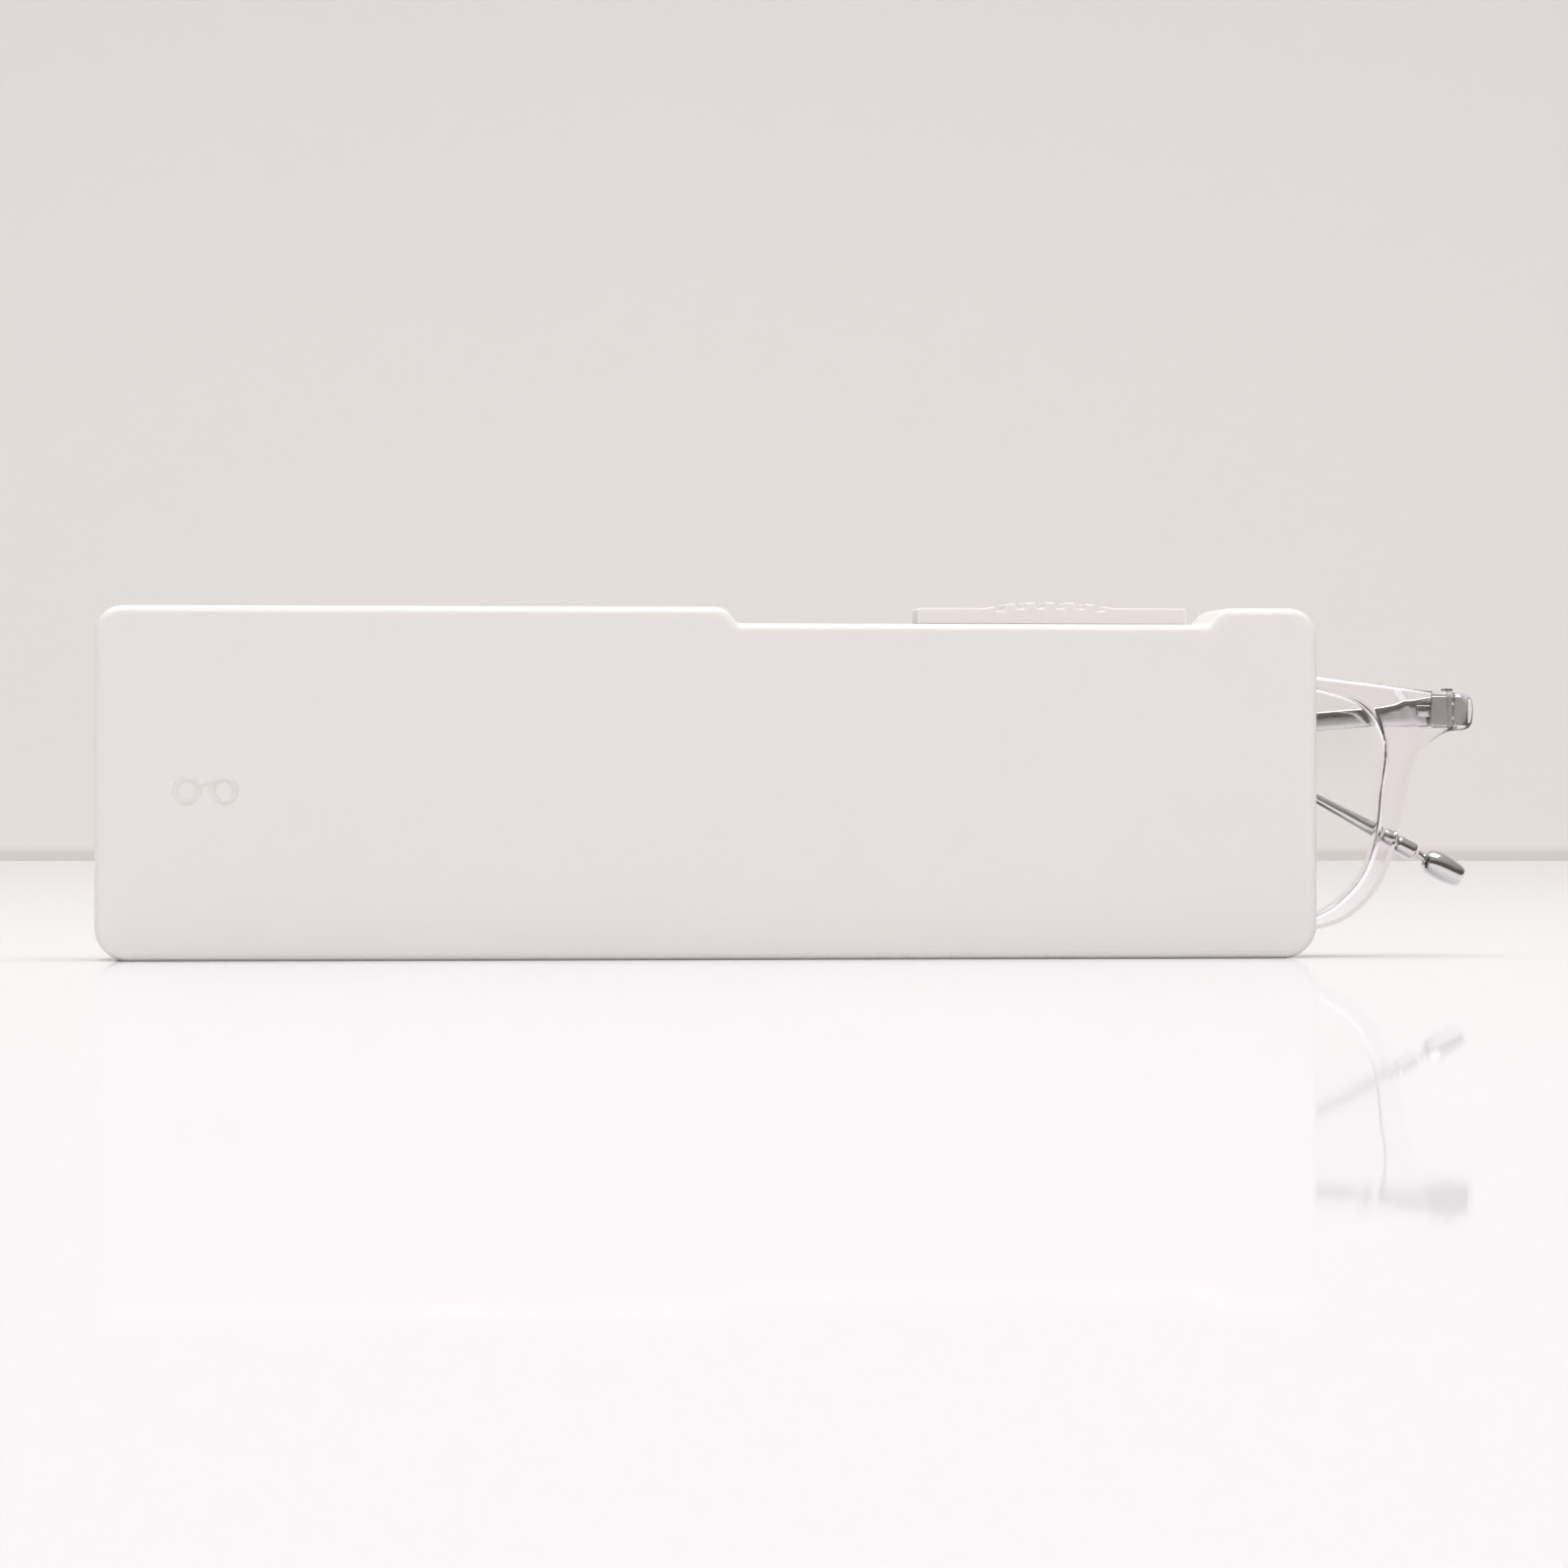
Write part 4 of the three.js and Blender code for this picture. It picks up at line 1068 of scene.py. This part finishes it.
def build_temple(name, side):
    """A folded temple: its hinge leaf, arm, collar and tip, laid out from the hinge pin."""
    body = f"temple_{name}"
    turn = math.pi + LEANS[name] if side > 0 else LEANS[name]
    matrix = to_hinge(name) @ Matrix.Rotation(turn, 4, "Z")
    offset = Matrix.Translation((0, -side * TEMPLE_OFFSET, 0))

    low, high = HINGE_Z - MIDDLE_KNUCKLE / 2, HINGE_Z + MIDDLE_KNUCKLE / 2
    leaf_ends = sorted((side * 0.05, side * 0.4))
    hinge = rounded_block(f"temple_leaf_{name}", (KNUCKLE_BORE + 0.25, leaf_ends[0], low + LEAF_STEP),
                          (LEAF_LENGTH, leaf_ends[1], high - LEAF_STEP), 0.1)
    carve(hinge, knuckle(low, high), "UNION")
    place(clean(hinge), matrix)
    dress(hinge, POLISHED_STEEL, "polished_steel", body, f"temple_hinge_{name}")

    bar = loft(f"temple_arm_{name}", [temple_ring(x) for x in temple_stations()])
    place(bar, matrix @ offset)
    dress(bar, POLISHED_STEEL, "polished_steel", body, f"temple_bar_{name}")

    sleeve = along_ear(turned(f"temple_collar_{name}", SLEEVE_PROFILE), ROD_END + 0.3)
    place(sleeve, matrix @ offset)
    dress(sleeve, POLISHED_STEEL, "polished_steel", body, f"temple_sleeve_{name}")

    tip = along_ear(turned(f"temple_end_{name}", TIP_PROFILE, 64), SLEEVE_END + 0.1)
    place(tip, matrix @ offset)
    dress(tip, POLISHED_STEEL, "polished_steel", body, f"temple_tip_{name}")


# ---------------- camera, lights and stage

CAMERA_DISTANCE = 0.8
CAMERA_AZIMUTH = math.radians(-5.85)
CAMERA_LENS = 144.0
TARGET = Vector((0.0092, CASE_LOW.y * MM, 0.0224))


def build_camera():
    data = bpy.data.cameras.new("camera")
    data.lens = CAMERA_LENS
    data.sensor_width = 36.0
    camera = add_object("camera", data)
    away = Vector((math.sin(CAMERA_AZIMUTH), -math.cos(CAMERA_AZIMUTH), 0))
    camera.location = TARGET + away * CAMERA_DISTANCE
    camera.rotation_euler = (QUARTER, 0, CAMERA_AZIMUTH)
    bpy.context.scene.camera = camera


def area_light(name, place_m, target, width, height, power, seen_in_gloss, colour):
    """A soft box, in metres and watts, which the metal and the clear plastic may or may not show."""
    data = bpy.data.lights.new(name, "AREA")
    data.shape = "RECTANGLE"
    data.size = width
    data.size_y = height
    data.energy = power
    data.color = colour
    light = add_object(name, data)
    light.location = place_m
    light.rotation_euler = (Vector(target) - Vector(place_m)).to_track_quat("-Z", "Y").to_euler()
    light.visible_glossy = seen_in_gloss
    light.visible_transmission = seen_in_gloss


def stage_plane(name, corners, finish):
    plane = new_object(name, corners, [(0, 1, 2, 3)])
    plane.data.materials.append(finish)


def turned_about_target(right, away, z):
    """A place given to the right of the target and away from the camera, in metres."""
    c, s = math.cos(CAMERA_AZIMUTH), math.sin(CAMERA_AZIMUTH)
    return (TARGET.x + right * c - away * s, TARGET.y + right * s + away * c, z)


TABLE_BACK = 1.026
WALL_AWAY = 1.35


def table_material():
    """A white table with a sharp but weak reflection, stronger at a low angle."""
    made = bpy.data.materials.new("table_top")
    made.use_nodes = True
    tree = made.node_tree
    tree.nodes.clear()
    output = tree.nodes.new("ShaderNodeOutputMaterial")
    diffuse = tree.nodes.new("ShaderNodeBsdfDiffuse")
    diffuse.inputs["Color"].default_value = (0.81, 0.812, 0.842, 1)
    gloss = tree.nodes.new("ShaderNodeBsdfGlossy")
    gloss.inputs["Color"].default_value = (1, 1, 1, 1)
    gloss.inputs["Roughness"].default_value = 0.03
    fresnel = tree.nodes.new("ShaderNodeFresnel")
    fresnel.inputs["IOR"].default_value = 1.45
    square = tree.nodes.new("ShaderNodeMath")
    square.operation = "POWER"
    square.inputs[1].default_value = 2.0
    share = tree.nodes.new("ShaderNodeMath")
    share.operation = "MULTIPLY"
    share.inputs[1].default_value = 0.7
    mix = tree.nodes.new("ShaderNodeMixShader")
    tree.links.new(fresnel.outputs["Fac"], square.inputs[0])
    tree.links.new(square.outputs["Value"], share.inputs[0])
    tree.links.new(share.outputs["Value"], mix.inputs["Fac"])
    tree.links.new(diffuse.outputs["BSDF"], mix.inputs[1])
    tree.links.new(gloss.outputs["BSDF"], mix.inputs[2])
    tree.links.new(mix.outputs["Shader"], output.inputs["Surface"])
    return made


def height_in(tree, space):
    coordinates = tree.nodes.new("ShaderNodeTexCoord")
    split = tree.nodes.new("ShaderNodeSeparateXYZ")
    tree.links.new(coordinates.outputs[space], split.inputs["Vector"])
    return split.outputs["Z"]


def colour_ramp(tree, source, stops, colour_input):
    """Colours an input by a value, through (position, colour) stops."""
    ramp = tree.nodes.new("ShaderNodeValToRGB")
    elements = ramp.color_ramp.elements
    elements[0].position, elements[1].position = stops[0][0], stops[-1][0]
    elements[0].color, elements[1].color = (*stops[0][1], 1), (*stops[-1][1], 1)
    for position, colour in stops[1:-1]:
        stop = elements.new(position)
        stop.color = (*colour, 1)
    tree.links.new(source, ramp.inputs["Fac"])
    tree.links.new(ramp.outputs["Color"], colour_input)


def wall_material():
    """A plain pale wall with painted shade: a painted shadow along its very foot behind the table, and
    painted shade that darkens it towards its top.
    """
    made, tree, shader = material("wall", (0.8, 0.77, 0.75), 0.9)
    height = tree.nodes.new("ShaderNodeMapRange")
    height.inputs["From Min"].default_value = -0.01
    height.inputs["From Max"].default_value = 0.31
    tree.links.new(height_in(tree, "Object"), height.inputs["Value"])
    # Painted shade: the darker first stop is a painted shadow at the wall's foot, and the fade from the
    # bright stop to the last one is painted falloff of light with height.
    stops = ((0.027, (0.79, 0.755, 0.74)), (0.034, (0.95, 0.92, 0.905)), (0.95, (0.79, 0.77, 0.757)))
    colour_ramp(tree, height.outputs["Result"], stops, shader.inputs["Base Color"])
    return made


def build_stage():
    side = 3.0
    near = -1.4
    wall_foot, wall_top = -0.6, 2.2
    low = cad_bounds[0][2]
    table = [turned_about_target(x, y, low) for x, y in
             ((-side, near), (side, near), (side, TABLE_BACK), (-side, TABLE_BACK))]
    stage_plane("table", table, table_material())
    wall = [turned_about_target(x, WALL_AWAY, z) for x, z in
            ((-side, wall_foot), (side, wall_foot), (side, wall_top), (-side, wall_top))]
    stage_plane("wall", wall, wall_material())


def build_world():
    """A pale room with a dark band above the horizon, for the metal and clear plastic to show."""
    world = bpy.data.worlds.new("room")
    bpy.context.scene.world = world
    world.use_nodes = True
    tree = world.node_tree
    background = tree.nodes["Background"]
    background.inputs["Strength"].default_value = 0.75
    stops = ((0, (0.9, 0.88, 0.87)), (0.01, (0.8, 0.78, 0.77)), (0.035, (0.17, 0.13, 0.115)),
             (0.4, (0.2, 0.17, 0.155)), (0.55, (0.5, 0.48, 0.47)), (0.8, (0.75, 0.74, 0.73)),
             (1, (1, 1, 1)))
    colour_ramp(tree, height_in(tree, "Generated"), stops, background.inputs["Color"])


def build_lights():
    warm_white = (1, 0.975, 0.96)
    area_light("ceiling_box", turned_about_target(0, -0.12, 1.1), (0, -0.12, 0),
               width=1.3, height=0.8, power=8.6, seen_in_gloss=True, colour=(1, 0.985, 0.975))
    area_light("front_fill", turned_about_target(0, -1.6, 0.55), (0, 0, 0.02),
               width=2.2, height=1.4, power=8.6, seen_in_gloss=False, colour=warm_white)
    area_light("wall_wash", turned_about_target(0, 0.2, 1.9), turned_about_target(0, WALL_AWAY, 0.3),
               width=2.4, height=0.6, power=15.5, seen_in_gloss=False, colour=warm_white)


build_camera()
build_world()
build_lights()
build_stage()
build_case()
build_lining()
build_carriage()
build_front()
for side_name, side_sign in (("left", 1), ("right", -1)):
    build_lens(side_name, side_sign)
    build_nose_pad(side_name, side_sign)
    build_frame_leaf(side_name, side_sign)
    build_back_plates(side_name, side_sign)
    build_hinge_screw(side_name)
    build_temple(side_name, side_sign)

bpy.context.scene.view_settings.view_transform = "Standard"
bpy.context.view_layer.update()
